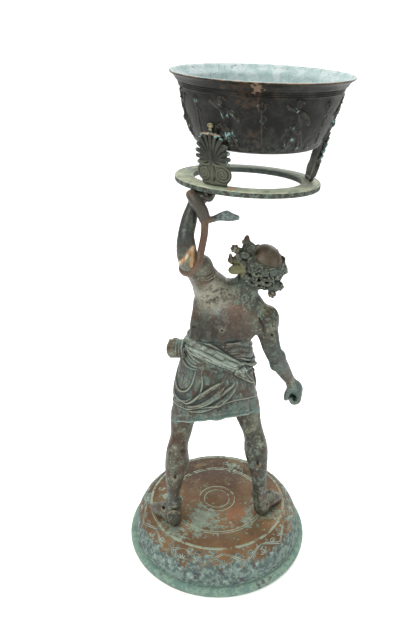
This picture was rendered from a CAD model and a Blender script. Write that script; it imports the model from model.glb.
"""The looks of a bronze silenus who lifts a ring stand with a wide bowl, seen from behind."""
import math
import random

import bmesh
import bpy
import numpy as np
from mathutils import Matrix, Vector


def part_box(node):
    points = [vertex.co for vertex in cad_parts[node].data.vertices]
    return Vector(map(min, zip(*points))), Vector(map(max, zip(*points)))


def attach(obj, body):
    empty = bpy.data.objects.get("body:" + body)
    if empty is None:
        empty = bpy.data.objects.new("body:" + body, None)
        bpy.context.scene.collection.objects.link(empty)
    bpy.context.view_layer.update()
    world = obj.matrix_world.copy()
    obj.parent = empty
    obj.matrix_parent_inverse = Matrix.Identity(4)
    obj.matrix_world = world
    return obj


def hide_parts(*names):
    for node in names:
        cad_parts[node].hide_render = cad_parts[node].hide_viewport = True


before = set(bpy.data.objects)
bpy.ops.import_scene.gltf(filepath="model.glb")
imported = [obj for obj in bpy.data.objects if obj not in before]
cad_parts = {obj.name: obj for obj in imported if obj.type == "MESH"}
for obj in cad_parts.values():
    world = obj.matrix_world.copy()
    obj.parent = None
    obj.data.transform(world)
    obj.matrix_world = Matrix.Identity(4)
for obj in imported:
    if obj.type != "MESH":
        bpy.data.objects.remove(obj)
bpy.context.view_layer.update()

# Camera and studio: the bronze is seen from behind and a little above, as in a catalogue picture, in front
# of a pale paper sweep that runs up behind it, under large soft lamps. The paper is lit from within a little.
camera_height = 0.675
camera_distance = 0.695
camera_side = -0.0137
camera_dip = math.radians(23.8)
focal_pixels = 580
frame_height = 624

lens = bpy.data.cameras.new("camera")
lens.sensor_width = 36
lens.lens = focal_pixels * lens.sensor_width / frame_height
camera = bpy.data.objects.new("camera", lens)
camera.location = (camera_side, -camera_distance, camera_height)
camera.rotation_euler = (math.pi / 2 - camera_dip, 0, 0)
bpy.context.scene.collection.objects.link(camera)
bpy.context.scene.camera = camera


class Tone:
    """A shader socket that takes part in sums as a number does, each sum adding its own Math node."""

    def __init__(self, finish, socket):
        self.finish = finish
        self.socket = socket

    def sum(self, operation, *terms):
        return self.finish.node("ShaderNodeMath", {"operation": operation}, dict(enumerate(terms)))

    def __add__(self, other):
        return self.sum("ADD", self, other)

    def __sub__(self, other):
        return self.sum("SUBTRACT", self, other)

    def __rsub__(self, other):
        return self.sum("SUBTRACT", other, self)

    def __mul__(self, other):
        return self.sum("MULTIPLY", self, other)

    def __abs__(self):
        return self.sum("ABSOLUTE", self)

    __radd__ = __add__
    __rmul__ = __mul__


class Finish:
    """A material in the making: its node tree, its Principled shader and the point that is being painted."""

    def __init__(self, name, roughness=0.5, metallic=0.0, gloss=0.5):
        self.material = bpy.data.materials.new(name)
        self.material.use_nodes = True
        self.tree = self.material.node_tree
        self.shader = self.tree.nodes["Principled BSDF"]
        self.shader.inputs["Roughness"].default_value = roughness
        self.shader.inputs["Metallic"].default_value = metallic
        self.shader.inputs["Specular IOR Level"].default_value = gloss
        self.place = self.node("ShaderNodeTexCoord", {}, {}, "Object")

    def node(self, kind, settings, values, output=0):
        """Adds a node, sets it up, then gives its sockets numbers, colours or the tones that feed them."""
        made = self.tree.nodes.new(kind)
        for setting, value in settings.items():
            setattr(made, setting, value)
        for name, value in values.items():
            socket = made.inputs[name]
            if isinstance(value, Tone):
                self.tree.links.new(value.socket, socket)
            elif isinstance(value, tuple) and socket.type == "RGBA":
                socket.default_value = (*value, 1)
            else:
                socket.default_value = value
        return Tone(self, made.outputs[output])

    def set(self, name, tone):
        self.tree.links.new(tone.socket, self.shader.inputs[name])

    def at(self, shift=(0, 0, 0), stretch=(1, 1, 1)):
        """The painted point, moved and stretched, so that two noises of one scale don't match."""
        values = {"Vector": self.place, "Location": shift, "Scale": stretch}
        return self.node("ShaderNodeMapping", {}, values)

    def noise(self, size, detail=4.0, shift=0.0, roughness=0.55, distortion=0.0, stretch=(1, 1, 1)):
        """Cloudy noise whose lumps are about so many metres across, near 0.5 on average."""
        point = self.at((shift, shift * 0.7, -shift), stretch)
        values = {"Vector": point, "Scale": 1 / size, "Detail": detail, "Roughness": roughness,
                  "Distortion": distortion}
        return self.node("ShaderNodeTexNoise", {}, values)

    def cells(self, size, shift=0.0):
        """Distance to the nearest of many scattered points, nought at each of them."""
        point = self.at((shift, -shift, shift))
        return self.node("ShaderNodeTexVoronoi", {}, {"Vector": point, "Scale": 1 / size})

    def rise(self, tone, low, high):
        """How far a tone has come from low to high, eased, from 0 to 1."""
        values = {"Value": tone, "From Min": low, "From Max": high}
        return self.node("ShaderNodeMapRange", {"interpolation_type": "SMOOTHSTEP"}, values)

    def mix(self, share, under, over):
        """One colour laid over another by a share."""
        return self.node("ShaderNodeMix", {"data_type": "RGBA"}, {0: share, 6: under, 7: over}, 2)

    def coat(self, under, over, where, low, high, share=1):
        """One colour laid over another where a tone rises from low to high, at most by a share."""
        return self.mix(self.rise(where, low, high) * share, under, over)

    def attribute(self, name):
        """A value that the mesh carries at its points."""
        return self.node("ShaderNodeAttribute", {"attribute_name": name}, {}, "Fac")

    def along(self, way):
        """How far the painted point lies along X, Y or Z, in metres."""
        return self.node("ShaderNodeSeparateXYZ", {}, {"Vector": self.place}, way)

    def crest(self):
        """How far the skin stands out of its neighbourhood: 0 level, above it a ridge, below it a hollow."""
        return self.attribute("crest")

    def near(self, point, reach, wobble=0.0, soft=0.15):
        """1 round a place and 0 beyond a reach, with an edge that wobbles by a tone."""
        ends = {0: self.place, 1: tuple(point)}
        away = self.node("ShaderNodeVectorMath", {"operation": "DISTANCE"}, ends, "Value")
        return self.rise(away + wobble, reach * (1 + soft), reach * (1 - soft))

    def rough_up(self, height, strength=0.5, depth=0.0004):
        """Bumps the surface with a tone as its height."""
        values = {"Height": height, "Strength": strength, "Distance": depth}
        self.set("Normal", self.node("ShaderNodeBump", {}, values))


paper_glow = 0.45
paper = Finish("paper_sweep", roughness=0.9, gloss=0)
paper.set("Base Color", paper.mix(paper.noise(0.6, 2), (0.86, 0.86, 0.86), (0.90, 0.90, 0.90)))
paper.shader.inputs["Emission Color"].default_value = (1, 1, 1, 1)
paper.shader.inputs["Emission Strength"].default_value = paper_glow

sweep_reach = 3.0
sweep_back = 2.2
sweep_bend = 0.9
sweep_sides = 24
sweep_bm = bmesh.new()
rail = [(-sweep_reach, 0.0)]
for step in range(sweep_sides + 1):
    turn = math.pi / 2 * step / sweep_sides
    rail.append((sweep_back + sweep_bend * math.sin(turn), sweep_bend * (1 - math.cos(turn))))
rail.append((sweep_back + sweep_bend, 2 * sweep_reach))
edges = []
for y, z in rail:
    edges.append([sweep_bm.verts.new((side * sweep_reach, y, z)) for side in (-1, 1)])
for near, far in zip(edges, edges[1:]):
    sweep_bm.faces.new((near[0], near[1], far[1], far[0])).smooth = True
sweep_mesh = bpy.data.meshes.new("sweep")
sweep_bm.to_mesh(sweep_mesh)
sweep_bm.free()
sweep_mesh.materials.append(paper.material)
sweep = bpy.data.objects.new("sweep", sweep_mesh)
bpy.context.scene.collection.objects.link(sweep)


def lamp(name, place, aim, width, height, power):
    """A soft box that faces its aim."""
    data = bpy.data.lights.new(name, "AREA")
    data.shape = "RECTANGLE"
    data.size = width
    data.size_y = height
    data.energy = power
    thing = bpy.data.objects.new(name, data)
    thing.location = place
    thing.rotation_euler = (Vector(aim) - Vector(place)).to_track_quat("-Z", "Y").to_euler()
    bpy.context.scene.collection.objects.link(thing)


lamp("key", (-1.3, -1.2, 1.9), (0, 0, 0.35), 1.1, 1.1, 38)
lamp("fill", (1.6, -1.0, 0.9), (0, 0, 0.3), 1.0, 1.2, 11)
lamp("top", (0.1, 0.4, 2.3), (0, 0, 0.3), 1.4, 1.4, 30)
lamp("back", (0.8, 1.8, 1.3), (0, 0, 0.4), 1.2, 1.0, 16)

world = bpy.data.worlds.new("studio")
world.use_nodes = True
world.node_tree.nodes["Background"].inputs["Color"].default_value = (1, 1, 1, 1)
world.node_tree.nodes["Background"].inputs["Strength"].default_value = 0.34
bpy.context.scene.world = world
bpy.context.scene.view_settings.view_transform = "Standard"

# Base: one heavy turned casting of bronze, with a flat disc on top, a bulging flank, a groove and a bead
# that it stands on. Rings were cut in the disc on the lathe and have filled with pale green crust.
base_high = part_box("base")[1]
disc_edge = 0.0014
flank_spread = 0.0235
groove_height = 0.0148
groove_depth = 0.0012
foot_bead = 0.0068
groove_radius = base_high.x - foot_bead - groove_depth
disc_radius = groove_radius - flank_spread
cut_rings = (0.0188, 0.0268, 0.0678, 0.0712, 0.0986)
ring_cut_width = 0.0005
ring_cut_depth = 0.00035
turning_steps = 240
disc_blots = (((-0.030, -0.030), 0.020), ((-0.012, -0.048), 0.024), ((0.042, -0.048), 0.016),
              ((0.056, -0.012), 0.014), ((-0.066, -0.066), 0.024), ((0.080, -0.030), 0.020),
              ((0.030, 0.078), 0.016), ((-0.076, 0.000), 0.016))


def new_piece(name, source, *materials):
    """A mesh object of a bmesh or a mesh, at the origin, with its materials."""
    mesh = source
    if isinstance(source, bmesh.types.BMesh):
        mesh = bpy.data.meshes.new(name)
        source.to_mesh(mesh)
        source.free()
    for finish in materials:
        mesh.materials.append(finish.material)
    thing = bpy.data.objects.new(name, mesh)
    bpy.context.scene.collection.objects.link(thing)
    return thing


def made_plain(thing):
    """Swaps a piece's modifiers for the mesh that they make."""
    graph = bpy.context.evaluated_depsgraph_get()
    mesh = bpy.data.meshes.new_from_object(thing.evaluated_get(graph))
    thing.modifiers.clear()
    thing.data = mesh
    return thing


def turned(name, profile, steps, finish):
    """A solid of revolution from (radius, height) points that run down its outer side."""
    bm = bmesh.new()
    points = [bm.verts.new((radius, 0, height)) for radius, height in profile]
    for first, second in zip(points, points[1:]):
        bm.edges.new((first, second))
    if profile[0][0] > 0:
        bm.edges.new((points[-1], points[0]))
    thing = new_piece(name, bm, finish)
    screw = thing.modifiers.new("turn", "SCREW")
    screw.steps = steps
    screw.render_steps = steps
    screw.use_merge_vertices = True
    screw.merge_threshold = 0.00002
    screw.use_smooth_shade = True
    return made_plain(thing)


def flank_point(share):
    """Radius and height of the flank, from the disc's edge at 0 to the groove at 1."""
    lean = math.radians(8 + 82 * share)
    return (disc_radius + flank_spread * math.sin(lean) ** 1.25,
            groove_height + (base_high.z - disc_edge - groove_height) * math.cos(lean))


base_profile = [(0, base_high.z)]
for radius in cut_rings:
    base_profile += [(radius - ring_cut_width, base_high.z), (radius, base_high.z - ring_cut_depth),
                     (radius + ring_cut_width, base_high.z)]
base_profile += [(disc_radius - disc_edge, base_high.z),
                 (disc_radius - disc_edge / 3, base_high.z - disc_edge / 8),
                 (disc_radius, base_high.z - disc_edge / 2.2)]
flank_steps = 36
for step in range(flank_steps + 1):
    base_profile.append(flank_point(step / flank_steps))
base_profile += [(groove_radius - groove_depth * 0.3, groove_height - groove_depth * 0.4),
                 (groove_radius - groove_depth * 1.3, groove_height - groove_depth),
                 (groove_radius - groove_depth * 0.6, groove_height - groove_depth * 1.6)]
bead_steps = 16
for step in range(bead_steps + 1):
    turn = math.radians(78 - 150 * step / bead_steps)
    base_profile.append((groove_radius + groove_depth + foot_bead * math.cos(turn),
                         foot_bead + foot_bead * math.sin(turn)))
base_profile += [(groove_radius, 0), (groove_radius * 0.93, 0), (0, 0)]


def paint_base():
    """Red-brown copper on the disc, blue-green crust down the flank and pale green on the bead."""
    finish = Finish("base_patina", gloss=0.2)
    broad = finish.noise(0.060, 4, 0.3)
    patch = finish.noise(0.020, 7, 1.7, 0.62, 0.4)
    fine = finish.noise(0.0045, 6, 2.9, 0.6)
    grit = finish.noise(0.0012, 4, 4.1)
    east, north, height = (finish.along(way) for way in "XYZ")
    square = east * east + north * north
    radius = square.sum("SQRT", square)
    # Bare metal, redder in places and darker at the back
    metal = finish.coat((0.126, 0.072, 0.036), (0.212, 0.122, 0.054), broad, 0.42, 0.60)
    metal = finish.coat(metal, (0.048, 0.031, 0.024), north, -0.01, 0.06, 0.85)
    metal = finish.coat(metal, (0.135, 0.100, 0.050), patch, 0.50, 0.62, 0.8)
    redder = finish.near((0.031, -0.036, base_high.z), 0.020, (patch - 0.5) * 0.08, 0.5)
    metal = finish.mix(redder * 0.7, metal, (0.250, 0.105, 0.050))
    metal = finish.coat(metal, (0.215, 0.125, 0.070), fine, 0.56, 0.70, 0.6)
    # Crust: blots on the disc where it was seen, and nearly whole on the flank
    on_disc = finish.rise(radius, disc_radius + 0.004, disc_radius - 0.001)
    blots = 0
    for place, reach in disc_blots:
        blots = blots + finish.near((*place, base_high.z), reach, (patch - 0.5) * 0.10, 0.6)
    disc_crust = finish.rise(patch * 0.35 + fine * 0.65 + blots * 0.14, 0.585, 0.635)
    low = finish.rise(height, 0.050, 0.030)
    thick = patch * 0.45 + fine * 0.45 + broad * 0.10 + low * 0.15
    flank_crust = finish.rise(thick, 0.490, 0.550)
    crust = disc_crust * on_disc + flank_crust * (1 - on_disc)
    teal = finish.coat((0.080, 0.115, 0.108), (0.180, 0.240, 0.205), finish.noise(0.006, 6, 6.3, 0.62),
                       0.42, 0.58)
    teal = finish.coat(teal, (0.290, 0.385, 0.330), fine * 0.5 + finish.noise(0.009, 5, 3.8) * 0.5, 0.55,
                       0.61, 0.8)
    teal = finish.coat(teal, (0.062, 0.058, 0.062), finish.noise(0.012, 5, 8.8), 0.55, 0.63, 0.85)
    teal = finish.mix(on_disc * 0.55, teal, (0.250, 0.275, 0.190))
    # Pale green on the bead, the edges and the cut rings
    bead = finish.rise(height, 0.0175, 0.0150)
    pale = finish.coat((0.235, 0.335, 0.250), (0.130, 0.210, 0.180), patch * 0.5 + fine * 0.5, 0.44, 0.56)
    arris = finish.rise(abs(radius - disc_radius + 0.0006), 0.0010, 0.0004)
    for place in cut_rings:
        arris = arris.sum("MAXIMUM", arris, finish.rise(abs(radius - place), 0.00095, 0.00035) * on_disc)
    broken = finish.rise(fine * 0.5 + patch * 0.5, 0.40, 0.50)
    colour = finish.mix(crust, metal, teal)
    colour = finish.mix(bead * finish.rise(fine * 0.4 + patch * 0.6, 0.38, 0.48), colour, pale)
    colour = finish.mix(arris * broken, colour, (0.300, 0.370, 0.280))
    copper = finish.rise(east * -1 + north * -0.4, 0.075, 0.11) * finish.rise(height, 0.006, 0.003)
    colour = finish.mix(copper * finish.rise(patch, 0.40, 0.55), colour, (0.330, 0.150, 0.085))
    colour = finish.coat(colour, (0.045, 0.042, 0.035), grit, 0.58, 0.72, 0.45)
    finish.set("Base Color", colour)
    finish.set("Roughness", 0.60 + crust * 0.20)
    finish.set("Metallic", 0.20 - crust * 0.2)
    finish.rough_up(fine * 0.5 + grit * 0.2 + crust * 0.5, 0.7, 0.0006)
    return finish


base_finish = paint_base()
base = turned("base_casting", base_profile, turning_steps, base_finish)
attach(base, "root")
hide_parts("base")

# Base ornament: thin inlaid lines round the upper flank, a double zigzag with a scroll in each upper
# corner and a small palm leaf in each lower one. The lines were laid in cut grooves and now stand proud.
inlay_repeats = 12
inlay_radius = 0.00052
inlay_shift = -0.355
inlay_top = 0.10
inlay_bottom = 0.46


def on_flank(across, down):
    """A point of one repeat: across from -0.5 to 0.5 of it, and down the band from 0 to 1."""
    radius, height = flank_point(inlay_top + (inlay_bottom - inlay_top) * down)
    turn = 2 * math.pi / inlay_repeats * (across + inlay_shift) - math.pi / 2
    return Vector((radius * math.cos(turn), radius * math.sin(turn), height))


def wire(bm, points, radius, sides=5, closed=False):
    """A thin round wire through points, with pointed ends where it isn't closed."""
    count = len(points)
    rings = []
    for number, point in enumerate(points):
        before = points[number - 1] if closed or number else point
        after = points[(number + 1) % count] if closed or number < count - 1 else point
        along = (after - before).normalized()
        side = along.cross(Vector((point.x, point.y, 0.2))).normalized()
        up = side.cross(along)
        thin = radius if closed or 0 < number < count - 1 else radius * 0.3
        rings.append([bm.verts.new(point + (side * math.cos(t) + up * math.sin(t)) * thin)
                      for t in (2 * math.pi * k / sides for k in range(sides))])
    pairs = list(zip(rings, rings[1:])) + ([(rings[-1], rings[0])] if closed else [])
    for start, end in pairs:
        for k in range(sides):
            bm.faces.new((start[k], start[(k + 1) % sides], end[(k + 1) % sides], end[k])).smooth = True
    if not closed:
        bm.faces.new(rings[0][::-1])
        bm.faces.new(rings[-1])


def run(start, end, pieces=8):
    """Even points from one place of the band to another."""
    across, down = (end[n] - start[n] for n in (0, 1))
    return [on_flank(start[0] + across * k / pieces, start[1] + down * k / pieces)
            for k in range(pieces + 1)]


motif = bmesh.new()
for inset in (0.0, 0.14):
    for side in (-1, 1):
        wire(motif, run((side * (0.5 - inset * 0.55), 0.02), (0, 1 - inset)), inlay_radius)
for side in (-1, 1):
    scroll = []
    for step in range(17):
        turn = math.radians(200 - 34 * step)
        reach = 0.105 * (1 - step / 22)
        across, down = 0.145 + reach * math.cos(turn), 0.30 + reach * 2.0 * math.sin(turn)
        scroll.append(on_flank(side * across, down))
    wire(motif, scroll, inlay_radius * 0.9)
for petal in range(-2, 3):
    turn = math.radians(34 * petal)
    tip = (0.5 + 0.13 * math.sin(turn), 0.96 - 0.42 * math.cos(turn))
    wire(motif, run((0.5 + 0.02 * petal, 0.90), tip, 5), inlay_radius * (1.5 - 0.2 * abs(petal)))
motif_piece = new_piece("inlay_motif", motif)

inlay_tree = bpy.data.node_groups.new("ring of motifs", "GeometryNodeTree")
for label, kind in (("Motif", "NodeSocketObject"), ("Repeats", "NodeSocketInt"),
                    ("Metal", "NodeSocketMaterial")):
    inlay_tree.interface.new_socket(label, in_out="INPUT", socket_type=kind)
inlay_tree.interface.new_socket("Geometry", in_out="OUTPUT", socket_type="NodeSocketGeometry")


def add_node(tree, kind, values=None, **settings):
    """Adds a geometry node with its settings, and gives its sockets values or the outputs that feed them."""
    made = tree.nodes.new(kind)
    for setting, value in settings.items():
        setattr(made, setting, value)
    for name, value in (values or {}).items():
        if isinstance(value, bpy.types.NodeSocket):
            tree.links.new(value, made.inputs[name])
        else:
            made.inputs[name].default_value = value
    return made


def grow_by_nodes(name, tree, values, finish):
    """Runs a tree on an empty mesh with the values of its named inputs, and keeps the plain mesh."""
    thing = new_piece(name, bpy.data.meshes.new(name))
    nodes = thing.modifiers.new("grow", "NODES")
    nodes.node_group = tree
    for socket in tree.interface.items_tree:
        if socket.item_type == "SOCKET" and socket.in_out == "INPUT":
            nodes[socket.identifier] = finish.material if socket.name == "Metal" else values[socket.name]
    return made_plain(thing)


given = add_node(inlay_tree, "NodeGroupInput")
dots = add_node(inlay_tree, "GeometryNodePoints", {"Count": given.outputs["Repeats"]})
index = add_node(inlay_tree, "GeometryNodeInputIndex")
share = add_node(inlay_tree, "ShaderNodeMath", {0: index.outputs[0], 1: given.outputs["Repeats"]},
                 operation="DIVIDE")
angle = add_node(inlay_tree, "ShaderNodeMath", {0: share.outputs[0], 1: 2 * math.pi}, operation="MULTIPLY")
spin = add_node(inlay_tree, "ShaderNodeCombineXYZ", {"Z": angle.outputs[0]})
looked_up = add_node(inlay_tree, "GeometryNodeObjectInfo", {"Object": given.outputs["Motif"]})
placed = add_node(inlay_tree, "GeometryNodeInstanceOnPoints", {
    "Points": dots.outputs[0], "Instance": looked_up.outputs["Geometry"], "Rotation": spin.outputs[0]})
real = add_node(inlay_tree, "GeometryNodeRealizeInstances", {"Geometry": placed.outputs[0]})
dressed = add_node(inlay_tree, "GeometryNodeSetMaterial", {
    "Geometry": real.outputs[0], "Material": given.outputs["Metal"]})
add_node(inlay_tree, "NodeGroupOutput", {"Geometry": dressed.outputs[0]})

inlay_finish = Finish("inlay_line", roughness=0.6, metallic=0.1, gloss=0.3)
worn = inlay_finish.rise(inlay_finish.noise(0.011, 5, 3.3), 0.40, 0.58)
inlay_finish.set("Base Color", inlay_finish.mix(worn, (0.200, 0.230, 0.180), (0.340, 0.420, 0.350)))
inlay_finish.rough_up(inlay_finish.noise(0.0015), 0.4, 0.0003)
inlay = grow_by_nodes("base_inlay", inlay_tree, {"Motif": motif_piece, "Repeats": inlay_repeats},
                      inlay_finish)
bpy.data.objects.remove(motif_piece)
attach(inlay, "root")

# Silenus: the old man is one bronze casting from a wax model, bare above a cloth wrapped round his hips,
# in soft boots. He leans on spread legs, throws his wreathed head back and lifts the ring in his left hand.
stature = 0.410
unit = stature / 410
soles = np.array((0, 0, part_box("silenus")[0].z))
ring_tilt = math.radians(3.2)
palm = (-26.5, -27.4, 478)
figure_grain = 0.92
figure_triangles = 190000


def eased(stations):
    """More stations on a smooth curve through the given ones, each of them x, y, z and radius."""
    given = np.array(stations, float)
    padded = np.vstack([2 * given[0] - given[1], given, 2 * given[-1] - given[-2]])
    made = []
    for number in range(len(given) - 1):
        a, b, c, d = padded[number:number + 4]
        pieces = max(2, int(np.linalg.norm((c - b)[:3]) / max(1.2, 0.35 * b[3])))
        for t in np.arange(pieces) / pieces:
            made.append(0.5 * (2 * b + (c - a) * t + (2 * a - 5 * b + 4 * c - d) * t ** 2
                               + (3 * b - a - 3 * c + d) * t ** 3))
    made.append(given[-1])
    made = np.array(made)
    made[:, 3] = np.maximum(made[:, 3], 0.25)
    return made


def mark(mesh, masks):
    """Gives a mesh's points named values for its finish to read."""
    for label, values in masks.items():
        made = mesh.attributes.new(label, "FLOAT", "POINT")
        made.data.foreach_set("value", np.asarray(values, np.float32).ravel())


class Clay:
    """Modelling clay on an even grid of points that each hold their distance to its skin, less than nought
    inside. Shapes are pressed on or carved off with soft joints, and the skin is drawn as a mesh last."""

    far = 30

    def __init__(self, low, high, grain, reach=4.5):
        self.low = np.array(low, float)
        self.grain = grain
        self.reach = reach
        self.count = np.ceil((np.array(high) - self.low) / grain).astype(int) + 1
        self.depth = np.full(self.count, self.far, np.float32)

    def window(self, low, high):
        """The grid's part round a box, and the x, y and z of its points."""
        first = np.floor((np.array(low) - self.reach - self.low) / self.grain).astype(int)
        last = np.ceil((np.array(high) + self.reach - self.low) / self.grain).astype(int) + 1
        first = np.clip(first, 0, self.count - 1)
        last = np.clip(last, first + 1, self.count)
        part = tuple(slice(a, b) for a, b in zip(first, last))
        ticks = [self.low[n] + self.grain * np.arange(first[n], last[n]) for n in range(3)]
        return part, np.meshgrid(*(row.astype(np.float32) for row in ticks), indexing="ij", sparse=True)

    def press(self, part, away, soft):
        """Joins a shape to the clay with a fillet."""
        held = self.depth[part]
        near = np.maximum(soft - np.abs(held - away), 0)
        self.depth[part] = np.minimum(held, away) - near * near / (4 * soft)

    def carve(self, part, away, soft):
        """Takes a shape away, and rounds the edge that it leaves."""
        held = self.depth[part]
        near = np.maximum(soft - np.abs(held + away), 0)
        self.depth[part] = np.maximum(held, -away) + near * near / (4 * soft)

    def strand(self, *stations, soft=1.5, carve=False):
        """A limb, lock or fold that tapers along a smooth curve through its stations."""
        points = eased(stations)
        thickest = points[:, 3].max()
        part = self.window(points[:, :3].min(0) - thickest, points[:, :3].max(0) + thickest)[0]
        away = np.full(self.depth[part].shape, self.far, np.float32)
        for start, end in zip(points, points[1:]):
            widest = max(start[3], end[3])
            low, high = np.minimum(start, end)[:3], np.maximum(start, end)[:3]
            inner, grid = self.window(low - widest, high + widest)
            local = tuple(slice(i.start - p.start, i.stop - p.start) for i, p in zip(inner, part))
            along = (end - start)[:3]
            offset = [grid[n] - start[n] for n in range(3)]
            share = sum(offset[n] * along[n] for n in range(3)) / max(along @ along, 1e-9)
            share = np.clip(share, 0, 1)
            square = sum((offset[n] - share * along[n]) ** 2 for n in range(3))
            gap = np.sqrt(square) - (start[3] + share * (end[3] - start[3]))
            away[local] = np.minimum(away[local], gap)
        (self.carve if carve else self.press)(part, away, soft)

    def egg(self, centre, radii, turn=((1, 0, 0), (0, 1, 0), (0, 0, 1)), soft=3.0, carve=False):
        """An egg of three radii; the columns of turn are the ways that they lie."""
        turn = np.array(turn, float)
        spread = np.sqrt(((turn * radii) ** 2).sum(1))
        part, grid = self.window(np.array(centre) - spread, np.array(centre) + spread)
        offset = [grid[n] - centre[n] for n in range(3)]
        shares = [sum(offset[n] * turn[n][m] for n in range(3)) / radii[m] for m in range(3)]
        scaled = np.sqrt(sum(s * s for s in shares))
        steep = np.sqrt(sum((s / r) ** 2 for s, r in zip(shares, radii)))
        (self.carve if carve else self.press)(part, scaled * (scaled - 1) / np.maximum(steep, 1e-6), soft)

    def trim(self, beyond):
        """Cuts off all that lies where a rule of x, y and z is more than nought."""
        grid = self.window(self.low, self.low + self.grain * (self.count - 1))[1]
        self.depth = np.maximum(self.depth, beyond(*grid)).astype(np.float32)

    def groove(self, *stations, soft=1.5):
        """A strand's shape taken away."""
        self.strand(*stations, soft=soft, carve=True)

    def scoop(self, centre, radii, turn=((1, 0, 0), (0, 1, 0), (0, 0, 1)), soft=3.0):
        """An egg's shape taken away."""
        self.egg(centre, radii, turn, soft, carve=True)

    def reading(self, places):
        """The depth at any places, read between the grid's points."""
        spot = np.clip((places - self.low) / self.grain, 0, self.count - 1.001)
        cell = spot.astype(int)
        part = spot - cell
        total = 0
        for corner in np.ndindex(2, 2, 2):
            weight = np.prod(np.where(corner, part, 1 - part), axis=1)
            total = total + weight * self.depth[tuple((cell + corner).T)]
        return total

    def skin(self, name, place, *materials, crest_reach=1.8):
        """The surface where depth is nought: one point in each cell that it crosses, joined by four-sided
        faces. place turns the grid's points into metres. Each point gets how far it stands out, as crest."""
        inside = self.depth < 0
        some = np.zeros(self.count - 1, bool)
        every = np.ones(self.count - 1, bool)
        for i, j, k in np.ndindex(2, 2, 2):
            part = inside[i:self.count[0] - 1 + i, j:self.count[1] - 1 + j, k:self.count[2] - 1 + k]
            some |= part
            every &= part
        cells = np.argwhere(some & ~every)
        number = np.full(self.count - 1, -1, np.int32)
        number[tuple(cells.T)] = np.arange(len(cells))
        spots = np.zeros((len(cells), 3))
        hits = np.zeros(len(cells))
        for axis in range(3):
            step = np.eye(3, dtype=int)[axis]
            for side in np.ndindex(2, 2):
                corner = np.insert(np.array(side), axis, 0)
                start = self.depth[tuple((cells + corner).T)]
                end = self.depth[tuple((cells + corner + step).T)]
                crosses = (start < 0) != (end < 0)
                share = np.where(crosses, start / np.where(crosses, start - end, 1), 0)
                spots += np.where(crosses[:, None], corner + share[:, None] * step, 0)
                hits += crosses
        points = self.low + self.grain * (cells + spots / hits[:, None])
        faces = []
        for axis in range(3):
            step = np.eye(3, dtype=int)[axis]
            span = tuple(slice(0, n - 1) if a == axis else slice(0, n) for a, n in enumerate(self.count))
            ahead = tuple(slice(1, n) if a == axis else slice(0, n) for a, n in enumerate(self.count))
            first, second = inside[span], inside[ahead]
            one, two = (axis + 1) % 3, (axis + 2) % 3
            for leaving in (True, False):
                edges_cut = np.argwhere((first & ~second) if leaving else (~first & second))
                beside = edges_cut[:, [one, two]]
                edges_cut = edges_cut[((beside > 0) & (beside < self.count[[one, two]] - 1)).all(1)]
                back_one, back_two = np.eye(3, dtype=int)[[one, two]]
                backs = (back_one + back_two, back_two, 0 * back_one, back_one)
                quad = np.stack([number[tuple((edges_cut - back).T)] for back in backs], axis=1)
                faces.append(quad if leaving else quad[:, ::-1])
        faces = np.concatenate(faces)
        around = 0
        for corner in np.ndindex(3, 3, 3):
            way = np.array(corner) - 1.0
            if way.any():
                around = around + np.clip(self.reading(points + way / np.linalg.norm(way) * crest_reach),
                                          -crest_reach, crest_reach)
        mesh = bpy.data.meshes.new(name)
        mesh.vertices.add(len(points))
        mesh.vertices.foreach_set("co", place(points).astype(np.float32).ravel())
        mesh.loops.add(len(faces) * 4)
        mesh.loops.foreach_set("vertex_index", faces.astype(np.int32).ravel())
        mesh.polygons.add(len(faces))
        mesh.polygons.foreach_set("loop_start", np.arange(0, len(faces) * 4, 4, dtype=np.int32))
        mesh.update(calc_edges=True)
        mesh.validate()
        mesh.shade_smooth()
        mark(mesh, {"crest": around / 26 / crest_reach})
        return new_piece(name, mesh, *materials), points


def in_metres(points):
    """The figure's own points, 410ths of its height above its soles, as metres."""
    return soles + np.array(points) * unit


figure = Clay((-106, -72, -2), (128, 56, 478), figure_grain)

# The masses of trunk, shoulders and neck
for centre, radii in (
        ((-5, 2, 208), (45, 34, 36)), ((-3, 17, 240), (39, 32, 38)), ((-1, 0, 268), (41, 30, 30)),
        ((7, 0, 300), (41, 29, 36)), ((10, -1, 324), (43, 26, 28))):
    figure.egg(centre, radii, soft=9)
figure.strand((-12, -4, 348, 19), (8, -4, 337, 20), (30, -4, 328, 18.5), (60, -4, 300, 17.5), soft=9)
figure.strand((26, -4, 336, 19), (42, -8, 362, 15.5), soft=8)
# Back muscles: the blades, the long muscles by the spine, the flanks, and the furrow between
figure.egg((-7, -15, 322), (17, 12, 21), soft=7)
figure.egg((36, -15, 304), (18, 12, 20), soft=7)
figure.egg((33, -19, 320), (13, 6, 9), ((0.9, 0, 0.4), (0, 1, 0), (-0.4, 0, 0.9)), soft=5)
for side in (-1, 1):
    figure.strand((1 + side * 8, -24, 330, 6), (-2 + side * 9, -25, 306, 7), (-7 + side * 10, -24, 284, 6),
                  soft=6)
figure.strand((48, -8, 318, 9), (41, -14, 296, 10), (32, -16, 276, 8), soft=7)
figure.strand((-24, -12, 322, 8), (-28, -14, 300, 9), (-30, -14, 280, 7), soft=7)
figure.groove((-2, -33, 346, 3.0), (0, -34.5, 325, 3.4), (-2, -34.5, 306, 3.2), (-7, -33, 284, 2.6),
              soft=5)
for start, middle, end in (((14, -34, 300), (26, -33, 293), (38, -27, 292)),
                           ((10, -34, 288), (22, -32, 281), (35, -26, 281)),
                           ((-14, -34, 303), (-24, -29, 297), (-32, -20, 298))):
    figure.groove((*start, 1.2), (*middle, 1.9), (*end, 1.2), soft=3.5)
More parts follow.
